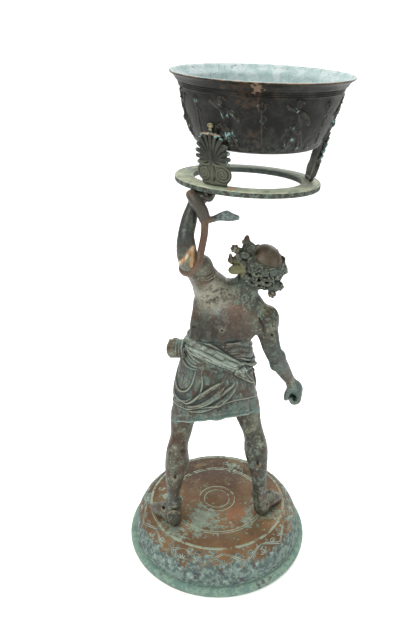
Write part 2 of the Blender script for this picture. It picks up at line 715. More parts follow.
# Chest and belly of an old man, and the navel
figure.egg((-6, 15, 314), (19, 11, 13), soft=7)
figure.egg((30, 15, 303), (19, 11, 13), soft=7)
figure.egg((1, 24, 258), (30, 24, 24), soft=10)
figure.scoop((1, 48.5, 256), (2.2, 3, 3), soft=3)
figure.groove((-24, 20, 303, 1.6), (-6, 29, 299, 2), (10, 28, 302, 1.6), soft=4)
figure.groove((12, 28, 296, 1.6), (28, 28, 289, 2), (45, 20, 292, 1.6), soft=4)
for x, y, z in ((-9, 27.5, 309), (33, 27.5, 298)):
    figure.egg((x, y, z), (2, 2, 2), soft=1.5)

# Legs, with the two heads of each calf, the tendons behind the knee and the ankle bones
figure.strand((-26, 2, 196, 25), (-42, -3, 168, 21.5), (-49, -6, 150, 17.6), (-51.5, -11, 131, 14.8),
              (-54.5, -15, 119, 13.6), (-57, -22, 108, 15), (-57.5, -29, 91, 17), (-60.4, -36.5, 74, 13.4),
              (-61.9, -43, 56, 9.8), (-62.6, -46, 42, 8.6), (-62, -49, 24, 9.6), (-61, -53, 12, 10), soft=6)
figure.strand((24, 2, 200, 25), (38, -1, 170, 20.5), (45, -5, 146, 16), (50, -8, 130, 14.2),
              (53, -12, 118, 15), (54.6, -16.5, 105, 16.8), (57.2, -22, 85, 14.2), (59.4, -26, 65, 11.1),
              (60.9, -29, 44, 9.6), (62, -31, 30, 9.6), (63, -33, 13, 10), soft=6)
for side in (-1, 1):
    figure.egg((-57.5 + side * 6.5, -36, 95 + side * 2), (7.5, 9.5, 18), soft=4)
    figure.egg((54.8 + side * 6.5, -23.5, 108 + side * 2), (7.5, 9, 17), soft=4)
    figure.strand((-50 + side * 8, -17, 142, 2.6), (-55 + side * 8.5, -25, 120, 3),
                  (-57 + side * 9, -33, 108, 2.2), soft=3)
    figure.strand((47.5 + side * 8, -15, 140, 2.6), (52 + side * 8.5, -21, 122, 3),
                  (54 + side * 9, -27, 112, 2.2), soft=3)
    figure.egg((-62.4 + side * 8.6, -44, 36), (3, 4, 4.5), soft=3)
    figure.egg((61.5 + side * 8.8, -28, 34), (3, 4, 4.5), soft=3)
figure.groove((-57.6, -46.5, 106, 0.8), (-58, -48, 92, 1.4), (-60, -47, 76, 0.8), soft=3)
figure.groove((54.5, -33.5, 116, 0.8), (55, -34, 102, 1.4), (57, -33, 88, 0.8), soft=3)
for x, y, z, radius in ((-61, -50, 62, 3), (61, -37.5, 52, 3)):
    figure.strand((x, y, z, 2), (x - 0.5, y - 3.5, z - 16, radius), (x, y - 4.5, z - 34, 2.5), soft=4)
for x, y, z in ((-44, 10, 133), (51, 5, 130)):
    figure.egg((x, y, z), (9, 7, 9), soft=4)

# Raised left arm and hanging right arm, with their muscles
figure.strand((-12, -4, 349, 20), (-23.5, -26, 376, 16.6), (-36, -46, 398, 13.2), (-40, -45, 420, 9.9),
              (-35.5, -38, 443, 9.2), (-30.5, -33, 460, 7.0), (-26, -30, 469, 8), soft=7)
figure.egg((-38, -49, 414), (9.5, 8.5, 17), soft=5)
figure.egg((-38.5, -53, 400), (6, 5, 7), soft=4)
figure.egg((-22, -31, 384), (14, 12, 15), soft=6)
figure.strand((60, -4, 300, 17.5), (65, -8, 284, 14), (72, -17, 261, 11.4), (84.6, -10, 235, 10.6),
              (96, -1, 213, 8), (101.7, 4, 203, 7), (106, 8, 194, 8.3), soft=7)
figure.egg((63, -8, 302), (14, 14, 20), ((0.95, 0, 0.3), (0, 1, 0), (-0.3, 0, 0.95)), soft=5)
figure.egg((68, -14, 276), (8.5, 9, 17), ((0.97, 0, 0.25), (0, 1, 0), (-0.25, 0, 0.97)), soft=4)
figure.egg((71.5, -24.5, 259), (5.5, 4.5, 6), soft=3.5)
figure.egg((79, -15, 246), (8, 8, 15), ((0.9, 0, 0.42), (0, 1, 0), (-0.42, 0, 0.9)), soft=5)
figure.groove((51, -21, 312, 0.4), (56, -22, 300, 1.1), (59, -20, 286, 0.4), soft=4)
# Creases where the raised arm meets the shoulder
for turn in (0, 1, 2):
    figure.groove((-31 + 3 * turn, -45 + 4 * turn, 380 - 4 * turn, 0.5),
                  (-23 + 3 * turn, -47 + 4.5 * turn, 375 - 4 * turn, 1.1),
                  (-12 + 2 * turn, -38 + 4 * turn, 376 - 4 * turn, 1.0),
                  (-6 + turn, -27 + 4 * turn, 382 - 4 * turn, 0.5), soft=1.6)

# Soft boots: foot, sole, the tongue that folds over each heel, and the cuff
for side, heel, ankle, instep, ball, toe in (
        (-1, (-60.5, -54, 9), (-62, -47, 30), (-74, -42, 12), (-86, -31, 8), (-95, -23.5, 5)),
        (1, (64, -32, 9), (62, -28, 30), (76, -18, 12), (86, -9, 8), (94, -1.5, 5))):
    figure.strand((*heel, 9), (*instep, 10), (*ball, 8.8), (*toe, 5.4), soft=3)
    figure.strand((*ankle, 9.5), (instep[0], instep[1], 18, 8.5), (*ball, 7), soft=4)
    back = np.array((heel[0] * 0.97, heel[1] - 6.5))
    outer = np.array((heel[0] + side * 8, heel[1] + 2))
    for number in range(3):
        rim = 0.35 + 0.35 * number
        figure.strand((*(back + (side * -4 * rim, 2)), 30 - 3 * number, 1.1),
                      (*(back + (side * 3, -1.5)), 27 + 5 * rim, 1.3),
                      (*(outer + (side * 1.5, -5)), 22, 1.3), (*(outer + (side * 0, -8)), 12, 1.2),
                      soft=1.4)
    figure.strand((heel[0] - side * 7, heel[1] + 6, 33, 2), (heel[0], heel[1] - 4.5, 37, 2.2),
                  (heel[0] + side * 8, heel[1] + 4, 35, 2), (heel[0] + side * 6, heel[1] + 14, 34, 2),
                  soft=1.5)
    figure.groove((heel[0], heel[1] - 10.5, 3.2, 0.6), (outer[0] + side * 1.4, outer[1] - 5, 3.2, 0.9),
                  (instep[0] + side * 7, instep[1] - 8.5, 3.2, 0.9),
                  (ball[0] + side * 5, ball[1] - 8, 3.0, 0.8),
                  (toe[0] + side * 5, toe[1] - 3, 2.8, 0.6), soft=1)
for centre, bearing in (((-74, -45, 19), 225), ((78, -24, 24), -50)):
    c, s = math.cos(math.radians(bearing)), math.sin(math.radians(bearing))
    figure.egg(centre, (3.6, 8, 13.5), ((c, -s, 0), (s, c, 0), (0, 0, 1)), soft=1.6)
    figure.scoop((centre[0] + 3.2 * c, centre[1] + 3.2 * s, centre[2]), (1.6, 5, 9),
                 ((c, -s, 0), (s, c, 0), (0, 0, 1)), soft=1.2)

# The cloth is drawn flat, as how far it stands off level ovals by bearing and height, and then wrapped
skirt_ovals = np.array((
    (140, -4, -2, 61, 46), (175, -4, 0, 57, 44), (203, -4, 3, 53, 43), (222, -4, 4, 49.5, 41),
    (244, -4, 4, 44.5, 38), (262, -2, 3, 42, 34), (278, -1, 2, 39, 30)))
hem_height = 152
hem_drop = 21


def hem(bearing):
    """The height of the lower layer's edge, lowest at the figure's left."""
    return hem_height + hem_drop * np.cos(np.radians(bearing + 68))


def overfold(bearing):
    """The lower edge of the upper layer of cloth."""
    known = np.array((
        (-180, 180), (-153, 179), (-131, 181.5), (-111, 187), (-90, 193), (-63, 197.5),
        (-43, 195), (-10, 186), (40, 188), (100, 192), (150, 184), (180, 180)))
    return np.interp(bearing, known[:, 0], known[:, 1])


class Drawing:
    """Relief drawn flat before it is laid round a form: how far each point stands out, by its bearing in
    degrees and its height. What is drawn after settle lies on top of what was there."""

    def __init__(self, low, high, rise, girth, turn):
        self.low = low
        self.rise = rise
        self.girth = girth
        self.turn = turn
        self.levels = np.arange(low, high, rise)
        self.bearing, self.height = np.meshgrid(np.arange(-180, 180, turn), self.levels, indexing="ij")
        self.lift = np.zeros(self.bearing.shape)
        self.settle()

    def settle(self):
        self.ground = self.lift.copy()

    def off_route(self, route):
        """Distance from a smooth route, more than nought above it, and the share along it."""
        points = eased([(bearing * self.girth, height, 0, 1) for bearing, height in route])[:, :2]
        away = np.full(self.bearing.shape, 99.0)
        side = np.ones(self.bearing.shape)
        along = np.zeros(self.bearing.shape)
        for wrap in (-360, 0, 360):
            x = (self.bearing + wrap) * self.girth
            near = (x > points[:, 0].min() - 14) & (x < points[:, 0].max() + 14)
            near &= (self.height > points[:, 1].min() - 14) & (self.height < points[:, 1].max() + 14)
            spots = np.stack([x[near], self.height[near]], 1)
            if not len(spots):
                continue
            best = np.full(len(spots), 99.0)
            best_side = np.ones(len(spots))
            best_along = np.zeros(len(spots))
            for number, (start, end) in enumerate(zip(points, points[1:])):
                way = end - start
                share = np.clip((spots - start) @ way / (way @ way), 0, 1)
                offset = spots - start - share[:, None] * way
                gap = np.hypot(offset[:, 0], offset[:, 1])
                closer = gap < best
                best = np.where(closer, gap, best)
                turned_to = np.sign(way[0] * offset[:, 1] - way[1] * offset[:, 0] + 1e-9)
                best_side = np.where(closer, turned_to, best_side)
                best_along = np.where(closer, (number + share) / (len(points) - 1), best_along)
            away[near], side[near], along[near] = best, best_side, best_along
        return away * side, along

    def limb(self, stations, height):
        """A rounded form that tapers along a smooth curve through bearing, height and half width."""
        points = eased([(bearing * self.girth, level, 0, radius) for bearing, level, radius in stations])
        for start, end in zip(points, points[1:]):
            widest = max(start[3], end[3])
            left, right = min(start[0], end[0]) - widest, max(start[0], end[0]) + widest
            first, last = left / self.girth / self.turn, right / self.girth / self.turn
            columns = np.arange(math.floor(first), math.ceil(last) + 1)
            rows = np.flatnonzero((self.levels > min(start[1], end[1]) - widest)
                                  & (self.levels < max(start[1], end[1]) + widest))
            place = np.ix_((columns + round(180 / self.turn)) % len(self.bearing), rows)
            way = (end - start)[:2]
            x = (columns * self.turn * self.girth - start[0])[:, None]
            y = (self.levels[rows] - start[1])[None, :]
            share = np.clip((x * way[0] + y * way[1]) / (way @ way), 0, 1)
            half_width = start[3] + share * (end[3] - start[3])
            gap = np.hypot(x - share * way[0], y - share * way[1]) / half_width
            raised = self.ground[place] + height * np.sqrt(np.clip(1 - gap * gap, 0, 1))
            self.lift[place] = np.maximum(self.lift[place], raised)

    def roll(self, route, height, width, lean=0.0):
        """A rounded fold along a route that thins at both ends; lean moves its crest to the upper side."""
        away, along = self.off_route(route)
        full = np.sqrt(np.sin(math.pi * np.clip(along, 0.02, 0.98)))
        across = away / (width * (0.4 + 0.6 * full))
        across = across - lean * (1 - across * across)
        shape = np.sqrt(np.clip(1 - across * across, 0, 1))
        self.lift = np.maximum(self.lift, self.ground + height * full * shape)

    def crease(self, route, depth, width):
        """A narrow valley along a route."""
        away, along = self.off_route(route)
        full = np.sqrt(np.sin(math.pi * np.clip(along, 0.02, 0.98)))
        self.lift = self.lift - depth * full * np.exp(-(away / width) ** 2)

    def sheet(self, above_edge, thickness, bead=0.7):
        """One more layer of cloth where above_edge is more than nought, with a rounded edge."""
        step = np.clip((above_edge + 0.5) / 1.1, 0, 1)
        edge = bead * np.exp(-((above_edge - 1.1) / 0.9) ** 2)
        self.lift = self.lift + thickness * step * step * (3 - 2 * step) + edge

    def reading(self, bearing, height, chart=None):
        """The lift, or another chart of the same size, at any bearings and heights."""
        chart = self.lift if chart is None else chart
        across = (bearing + 180) / self.turn
        first = np.floor(across).astype(int)
        share = across - first
        up = np.clip((height - self.low) / self.rise, 0, len(self.levels) - 1.001)
        below = up.astype(int)
        climb = up - below
        a, b = first % len(chart), (first + 1) % len(chart)
        return ((chart[a, below] * (1 - share) + chart[b, below] * share) * (1 - climb)
                + (chart[a, below + 1] * (1 - share) + chart[b, below + 1] * share) * climb)

    def ridges(self, reach):
        """How far each point stands out of its neighbourhood, for the finish."""
        around = 0
        for number in range(12):
            turn = math.radians(30 * number)
            far = reach * (0.5 if number % 2 else 1)
            across, up = far * math.cos(turn) / self.girth / self.turn, far * math.sin(turn) / self.rise
            shift = (round(across), round(up))
            around = around + np.roll(self.lift, shift, axis=(0, 1))
        return self.lift - around / 12


cloth = Drawing(126, 294, 0.5, 0.85, 0.5)
around = np.radians(cloth.bearing)
# Lower layer: shallow pleats that run down to the hem, and the hem's own thickness
cloth.lift += 0.9 * np.cos(17 * around + 0.6 * np.sin(3 * around)) + 1.0 * np.cos(9 * around + 0.9)
cloth.lift += 1.2 * np.exp(-((cloth.height - hem(cloth.bearing) - 1.4) / 1.2) ** 2)
cloth.lift += 0.5 * np.exp(-((cloth.height - hem(cloth.bearing) - 9 - 2 * np.sin(2 * around)) / 0.9) ** 2)
# Upper layer, pulled up to the figure's right, with swags that hang from the left hip
cloth.lift *= np.clip((overfold(cloth.bearing) + 10 - cloth.height) / 20, 0.15, 1)
cloth.sheet(cloth.height - overfold(cloth.bearing), 2.4, 0.9)
cloth.settle()
cloth.roll([(-128, 191), (-118, 200), (-108, 208), (-93, 219.5), (-80, 226)], 3.6, 3.4, 0.3)
cloth.roll([(-132, 186), (-120, 188.5), (-108, 193.5), (-93, 202.5), (-74, 214), (-62, 221)], 3.2, 3.0,
           0.35)
cloth.roll([(-178, 206), (-166, 195), (-150, 191), (-134, 193), (-123, 201)], 2.2, 1.5)
cloth.crease([(-118, 216), (-100, 230), (-84, 238)], 1.0, 2.6)
cloth.crease([(-74, 196), (-50, 204), (-30, 212)], 0.7, 2.0)
for start in (20, 47, 70, 96, 124, 152):
    cloth.roll([(start - 8, 236), (start, 214), (start + 5, 192)], 2.4, 3.8, 0.2)
# Pouch: a fold with a thin rolled edge that hangs from the bundle at the left hip
cloth.settle()
cloth.roll([(-178, 232), (-170, 216), (-158, 205.5), (-143, 204.5), (-132, 210), (-125, 221), (-122, 238)],
           2.4, 1.6, 0.1)
cloth.settle()
cloth.crease([(-163, 246), (-158, 228), (-154, 212)], 1.2, 1.6)
cloth.crease([(-150, 244), (-146, 226), (-144, 212)], 1.0, 1.4)
cloth.crease([(-136, 242), (-134, 228), (-135, 216)], 0.8, 1.4)
# Sash: a twisted roll from the left hip across the back to the right, in several gathered strands
cloth.settle()
cloth.roll([(-180, 266), (-160, 271), (-136, 270), (-112, 267), (-90, 261), (-72, 254), (-52, 244),
            (-36, 238)], 6.5, 9.5)
cloth.settle()
cloth.roll([(-172, 272), (-157, 278), (-122, 280), (-100, 276), (-86, 269.8), (-71, 262), (-54, 252),
            (-38, 243)], 2.6, 2.2, 0.2)
cloth.roll([(-162, 270), (-140, 265), (-118, 258), (-100, 252)], 1.7, 2.0, 0.2)
cloth.roll([(-163, 263), (-146, 259.5), (-128, 254), (-112, 250)], 1.5, 1.8, 0.2)
cloth.roll([(-164, 257), (-150, 253), (-134, 249.5), (-118, 247)], 1.3, 1.8, 0.2)
cloth.crease([(-158, 275), (-136, 274), (-110, 273), (-90, 268)], 0.9, 1.3)
cloth.crease([(-130, 250), (-108, 247.5), (-84, 243.5), (-62, 238)], 1.0, 1.8)
# The cloth gathered round the right of the waist, above the sash
for number, route in enumerate(([(-80, 275), (-54, 277), (-28, 269), (0, 263), (30, 262)],
                                [(-70, 268), (-48, 268.5), (-20, 259), (4, 253.5), (34, 252)],
                                [(-60, 260), (-38, 258.5), (-12, 249), (12, 244), (40, 243)])):
    cloth.roll(route, 4.8, 5.2, 0.15)
    cloth.roll([(bearing + 4, height - 4.6) for bearing, height in route], 3.0, 2.0, 0.2)
cloth.settle()
front = [(-36, 238), (-10, 236), (20, 237), (60, 243), (100, 250), (140, 258), (182, 266)]
cloth.roll(front, 6.0, 8.5)
cloth.settle()
cloth.roll([(bearing, height + 5) for bearing, height in front], 1.8, 2.2, 0.2)
cloth.roll([(bearing, height - 3) for bearing, height in front], 1.8, 2.4, 0.2)
# Flap: the sash's loose end at the right, a thin three-cornered piece with a rolled edge
flap = [(-44, 246), (-33, 226), (-12, 205)]
flap_low = [(-52, 229), (-36, 218), (-12, 205)]
upper_side = cloth.off_route(flap)[0]
lower_side = cloth.off_route(flap_low)[0]
cloth.settle()
below_upper = np.where(np.abs(upper_side) < 40, upper_side * -1, -9)
above_lower = np.where(lower_side < 40, lower_side, -9)
cloth.sheet(np.minimum(below_upper, above_lower), 2.4, 1.0)
cloth.settle()
cloth.roll([(-42, 244), (-32, 226), (-16, 209)], 1.6, 1.5)
cloth.roll([(-48, 240), (-42, 228), (-34, 219)], 1.4, 1.6)


def off_cloth(x, y, z):
    """Distance to the outer face of the cloth, and its bearing."""
    centre_x, centre_y, half_width, half_depth = (
        np.interp(z, skirt_ovals[:, 0], skirt_ovals[:, n]) for n in range(1, 5))
    dx, dy = x - centre_x, y - centre_y
    scaled = np.maximum(np.hypot(dx / half_width, dy / half_depth), 1e-4)
    reach = np.hypot(dx, dy)
    bearing = np.degrees(np.arctan2(dy / half_depth, dx / half_width))
    return reach - reach / scaled - cloth.reading(bearing, z + 0 * bearing), bearing


part, (x, y, z) = figure.window((-70, -55, 130), (66, 52, 286))
outer, bearing = off_cloth(x + 0 * (y + z), y + 0 * (x + z), z + 0 * (x + y))
outer = outer * 0.85
floor = hem(bearing) - z
body = np.maximum(np.maximum(outer, floor), z - 279)
hollow = np.maximum(outer + 3.4, z - (hem(bearing) + 13))
body = np.maximum(body, -hollow)
figure.press(part, body.astype(np.float32), 1.5)
# The bundle of cloth at the left hip, gathered in upright folds
figure.egg((-56, -15, 266), (10, 9, 13.5), soft=3)
for number in range(6):
    x = -65 + 3.2 * number
    y = -21.5 - 2.4 * math.sin(math.pi * (number + 0.5) / 6)
    figure.strand((x + 2, -18, 278, 1.8), (x - 0.5, y, 270, 2.4), (x, y, 261, 2.4),
                  (x + 2.5, -18, 253.5, 1.8), soft=0.6)

# Hands: the left one closes over the snake and carries the ring, the right one is half closed
figure.egg((-23.5, -29, 469), (11.5, 10.5, 9.4), soft=3)
figure.strand((-28, -31, 454, 7), (-25, -30, 467, 8), soft=4)
for number in range(4):
    y = -38 + 6.2 * number
    figure.strand((-27, y + 1, 467, 3.6), (-19, y, 470, 3.7), (-12, y + 1, 467.5, 3.5),
                  (-8, y + 1, 472.5, 3.0), soft=1.2)
    figure.egg((-19, y, 472.5), (3, 2.6, 2.2), soft=1.2)
figure.strand((-29, -29, 465, 4.6), (-31, -20, 470, 4.0), (-31, -14, 475, 3.2), soft=1.6)
figure.strand((102, 5, 200, 7.2), (107, 9, 192, 8.4), soft=4)
figure.egg((109.5, 10.5, 188), (10, 9.5, 11), soft=4)
for number in range(4):
    y, x = 2 + 5.4 * number, 111 + 1.4 * number
    figure.strand((x + 1, y + 0.3, 186, 4.2), (x + 3, y + 0.6, 177, 3.8), (x + 1, y + 1, 170 + number, 3.4),
                  (x - 5, y + 1, 169.5 + number, 3.3), (x - 8.5, y + 0.5, 175 + number, 3.0), soft=1.1)
    figure.egg((x + 4.2, y + 0.4, 182.5), (2.4, 2.5, 3), soft=1.5)
figure.strand((101, 4, 191, 5), (97, 3.5, 182, 4.2), (96.5, 6, 174, 3.4), soft=1.8)
figure.strand((113, 17, 181, 4), (116, 18.5, 175, 3.4), (114, 19, 168, 2.8), soft=1.4)
figure.groove((104, -1, 183, 1.5), (105, 3, 180, 2.4), (106, 9, 179, 2.4), soft=1.5)

# Head: drawn with the face's own side, forward and upward ways
head_centre = np.array((57, -12, 383.0))
head_radius = 22.5
crown = np.array((0.32, -0.5, 0.81)) / np.linalg.norm((0.32, -0.5, 0.81))
gaze = np.array((-0.15, 0.8, 0.5))
gaze -= crown * (gaze @ crown)
gaze /= np.linalg.norm(gaze)
ear_side = np.cross(gaze, crown)
head_ways = np.stack([ear_side, gaze, crown], 1)


def on_head(side, forward, up, radius):
    """A strand's station given from the head's centre."""
    return (*(head_centre + head_ways @ (side, forward, up)), radius)


def about_head(turn, out, up, radius):
    """A station by its turn from the face to the figure's right, and its reach and height in head radii."""
    angle = math.radians(turn)
    side, forward = math.sin(angle) * out, math.cos(angle) * out
    return on_head(side * head_radius, forward * head_radius, up * head_radius, radius)


# Two lids, a brow, an ear and two locks of the moustache on one side, each with its softness and stations
face_strands = (
    (0.7, (4.2, 20.2, -0.4, 0.6), (7.6, 21.6, 1.7, 0.8), (11.6, 18.6, 0.2, 0.6)),
    (0.7, (4.4, 20.1, -0.9, 0.5), (7.6, 20.8, -2.8, 0.7), (11.4, 18.4, -0.8, 0.5)),
    (2, (2.6, 21.8, 3.6, 1.2), (8, 21.4, 5.6, 1.6), (13.4, 17.6, 3.8, 1.1)),
    (1.3, (19.6, 1.5, 3, 1.6), (21.6, -1, 6.5, 1.9), (22.2, -3, 1, 1.8), (21, -1, -5, 1.7),
     (19.4, 2, -5, 1.3)),
    (0.9, (1, 24, -11.4, 1.6), (5.6, 22.4, -13.6, 2.2), (9.6, 18.4, -18, 1.2)),
    (0.7, (1.2, 23.4, -12.4, 1.3), (5, 22, -15.4, 1.6), (8, 19, -20, 0.9)))
figure.egg(head_centre, (20.3, 22.8, 22.3), head_ways, soft=6)
figure.egg(on_head(0, 9.4, -10, 0)[:3], (14.4, 15.6, 19.5), head_ways, soft=6)
for side in (-1, 1):
    figure.egg(on_head(side * 9.5, 14.8, -6.5, 0)[:3], (5.4, 4.6, 5), head_ways, soft=3)
    figure.scoop(on_head(side * 7.8, 21.6, -0.5, 0)[:3], (5, 3.6, 3.4), head_ways, soft=2)
    figure.egg(on_head(side * 7.8, 17.9, -0.5, 0)[:3], (3.5, 3.3, 3.0), head_ways, soft=0.4)
    for soft, *stations in face_strands:
        figure.strand(*(on_head(side * across, *rest) for across, *rest in stations), soft=soft)
figure.strand(on_head(0, 21, 4, 2), on_head(0, 23.8, -4, 2.3), on_head(0, 26, -8.4, 3), soft=2)
for side in (-1, 1):
    figure.egg(on_head(side * 3.1, 23, -9, 0)[:3], (2.1, 2.4, 2), head_ways, soft=1.2)
figure.strand(on_head(-3.6, 21.6, -15.4, 1), on_head(0, 22.8, -15.2, 1.4), on_head(3.6, 21.6, -15.4, 1),
              soft=0.8)
# Beard: wavy locks in three layers from the cheeks and the chin
for layer in range(3):
    for number in range(9 + 2 * layer):
        turn = math.radians(90 + (number - (8 + 2 * layer) / 2) * (21 - 2.5 * layer))
        forward = 1.02 - 0.1 * layer
        start_up = -15 - 3.2 * layer + 6 * abs(math.cos(turn))
        wave = 1.3 * (-1) ** number
        stations = []
        for share in (0, 0.35, 0.7, 1):
            narrow = 1 - 0.32 * share
            sway = wave * math.sin(2 * math.pi * share)
            stations.append(on_head((16 * math.cos(turn) + sway * math.sin(turn)) * narrow,
                                    3 + (17.2 * forward * math.sin(turn) + sway * math.cos(turn)) * narrow,
                                    start_up - (15 - layer) * share, 2.0 - 1.3 * share))
        figure.strand(*stations, soft=0.8)

# Hair: it starts below the wreath, which sits higher at the back than over the brow. A full mass comes
# first, then rows of curling locks with dark gaps between them, each with a furrow down it.
def below_wreath(turn, proud, drop, radius):
    """A station so far below the wreath's line, in head radii, that stands proud of the scalp."""
    up = 0.28 + 0.26 * math.cos(math.radians(turn - 185)) - drop
    scalp = math.sqrt(1 - up * up) if up > 0 else 1
    return about_head(turn, scalp + proud, up, radius)


for row in range(4):
    for number in range(9):
        turn = 75 + 26 * number + 12 * (row % 2)
        centre = below_wreath(turn, -0.10 - 0.04 * row, 0.20 + 0.30 * row, 0)[:3]
        figure.egg(centre, (5.6, 5.6, 6.2), soft=3)
for centre, radii in (
        ((33, -19, 393), (12, 7, 11)), ((31, -20, 378), (11, 8, 9)), ((36, -16, 404), (8, 6, 7)),
        ((24, -18, 386), (9, 6, 9)), ((68, -22, 355), (9, 7, 8))):
    figure.egg(centre, radii, soft=3)
side_locks = (((24, -25, 392), (4.6, 3.4, 6.4)), ((31, -27, 397), (4.8, 3.4, 6.0)),
              ((30, -27, 386), (5.2, 3.4, 4.6)), ((38, -26, 404), (5.6, 3.2, 4.6)),
              ((39, -28, 391), (4.6, 3.2, 6.6)), ((40, -29, 379), (5, 3.4, 5.4)),
              ((31, -27, 370), (4.4, 3.4, 5)))
for number, (centre, radii) in enumerate(side_locks):
    c, s = math.cos(1.3 * number), math.sin(1.3 * number)
    figure.egg(centre, radii, ((c, 0, -s), (0, 1, 0), (s, 0, c)), soft=0.6)
curl = ((0, -0.02, 0, 2.0), (0.5, 0.07, 0.16, 2.9), (1, 0.13, 0.32, 3.0), (0.3, 0.17, 0.46, 2.6),
        (-0.7, 0.15, 0.44, 2.1), (-0.9, 0.14, 0.28, 1.5))
hair = random.Random(41)
for row in range(3):
    for number in range(10):
        turn = 68 + 25 * (number + 0.5 * (row % 2)) + hair.uniform(-4, 4)
        drop = 0.12 + 0.40 * row + hair.uniform(-0.05, 0.05)
        swing = 13 * (-1) ** (number + row) + hair.uniform(-4, 4)
        lift = (0.00, 0.03, -0.03)[row]
        figure.strand(*(below_wreath(turn + swing * way, lift + proud, drop + fall, radius)
                        for way, proud, fall, radius in curl), soft=0.5)
        figure.groove(*(below_wreath(turn + swing * way, lift + proud + 0.12, drop + fall, 0.8)
                        for way, proud, fall, radius in curl), soft=0.4)
# Wreath: a twisted stem, leaves that lie on the hair below it and clusters of ivy berries
for twist in range(3):
    stem = []
    for number in range(37):
        lay = math.radians(50 * number + 120 * twist)
        stem.append(below_wreath(10 * number, 0.05 + 0.04 * math.cos(lay), 0.05 * math.sin(lay), 1.5))
    figure.strand(*stem, soft=0.8)


def leaf(centre, along, across, length, width, thick):
    """An ivy leaf: a thin arched plate with side lobes and a raised midrib."""
    centre = np.array(centre, float)
    along = np.array(along, float) / np.linalg.norm(along)
    across = np.array(across, float)
    across = across - along * (across @ along)
    across /= np.linalg.norm(across)
    ways = np.stack([across, np.cross(along, across), along], 1)
    figure.egg(centre, (width * 0.72, thick, length), ways, soft=0.8)
    for side in (-1, 1):
        lobe = centre - along * length * 0.28 + across * side * width * 0.5
        figure.egg(lobe, (width * 0.62, thick, length * 0.42), ways, soft=0.8)
    lifted = ways[:, 1] * thick * 0.75
    for face in (-1, 1):
        figure.strand((*(centre - along * length * 0.95 + face * lifted), 0.6),
                      (*(centre + face * lifted * 1.3), 0.8),
                      (*(centre + along * length * 0.8 + face * lifted * 0.6), 0.4), soft=0.6)


for number in range(5):
    turn = -80 + 40 * number
    root = np.array(below_wreath(turn, 0.08, 0.04, 0)[:3])
    tip = np.array(below_wreath(turn + 8, 0.12, -0.16, 0)[:3])
    leaf((root + tip) / 2, tip - root, np.cross(tip - root, root - head_centre), 5, 4.2, 1.5)
for number in range(13):
    turn = 60 + 22 * number
    flip = (-1) ** number
    root = np.array(below_wreath(turn, 0.12, 0.06 + 0.05 * flip, 0)[:3])
    tip = np.array(below_wreath(turn + 14 * flip, 0.26, 0.34 + 0.1 * hair.uniform(-1, 1), 0)[:3])
    leaf((root + tip) / 2, tip - root, np.cross(tip - root, root - head_centre), 6.0, 4.6, 1.5)
back_leaves = (((33, -19, 413), (5.4, 3.2, 7.4), 6), ((14, -22, 391), (3.8, 3.4, 7.4), -6),
               ((83, -13, 372), (3.4, 3.0, 5.4), 15))
for centre, radii, lean in back_leaves:
    c, s = math.cos(math.radians(lean)), math.sin(math.radians(lean))
    centre = np.array(centre, float)
    figure.strand((*centre, 2.6), (*(0.75 * centre + 0.25 * head_centre), 3),
                  (*(0.5 * centre + 0.5 * head_centre), 4), soft=1.5)
    leaf(centre, (s, -0.1, c), (c, 0.1, -s), radii[2], radii[0], radii[1] * 0.7)
# One broad ribbed leaf lies sideways over the nape
broad_leaf = np.array((21, -25, 378.0))
figure.egg(broad_leaf, (10.2, 4.6, 6.4), ((0.99, 0, -0.12), (0, 1, 0), (0.12, 0, 0.99)), soft=0.8)
figure.strand((*broad_leaf, 4), (34, -20, 380, 5), soft=2)
for rib in range(-2, 3):
    figure.groove((29, -29.2 + 0.4 * abs(rib), 378 + 1.2 * rib, 0.3),
                  (20, -30.2 + 0.5 * abs(rib), 378.4 + 2.1 * rib, 0.65),
                  (12.5, -28 + 0.4 * abs(rib), 379 + 2.3 * rib, 0.4), soft=0.5)
for centre in ((19, -21, 403), (26, -22, 396), (66, -25, 346), (76, -20, 354), (36, -25, 366)):
    centre = np.array(centre, float)
    figure.strand((*centre, 4.2), (*(0.5 * centre + 0.5 * head_centre), 4), soft=1)
    for number in range(11):
        height = 1 - 2 * (number + 0.5) / 11
        across = math.sqrt(1 - height * height)
        way = np.array((math.cos(2.4 * number) * across, math.sin(2.4 * number) * across, height))
        figure.egg(centre + way * 4.0, (2.1, 2.1, 2.1), soft=0.3)

# Old casting holes in the bare skin, and the brazed repair on the raised arm
for x, y, z in ((68.7, -19, 300), (69, -20.6, 287), (4.1, -29.8, 298), (86.9, -10.2, 216)):
    figure.scoop((x, y, z), (1.5, 3, 1.5), soft=0.6)
braze = ((-46.4, -53.4, 396.3), (-40, -54, 404), (-30.8, -52.6, 415.7),
         (-31.4, -56, 405), (-32.1, -58.2, 394))
braze_line = eased([(*station, 1.5) for station in braze[:3]] + [(*station, 2.1) for station in braze[3:]])
figure.strand(*((*station, 1.3) for station in braze[:3]), soft=0.5)
figure.strand(*((*station, 1.6) for station in braze[2:]), soft=0.5)


def above_ring(x, z):
    """How far a point lies above the ring's sloping underside."""
    return z - (palm[2] - math.tan(ring_tilt) * (x - palm[0]))


# Flat where the boots stand on the base and where the hand carries the ring
figure.trim(lambda x, y, z: np.maximum(-z, above_ring(x, z)))


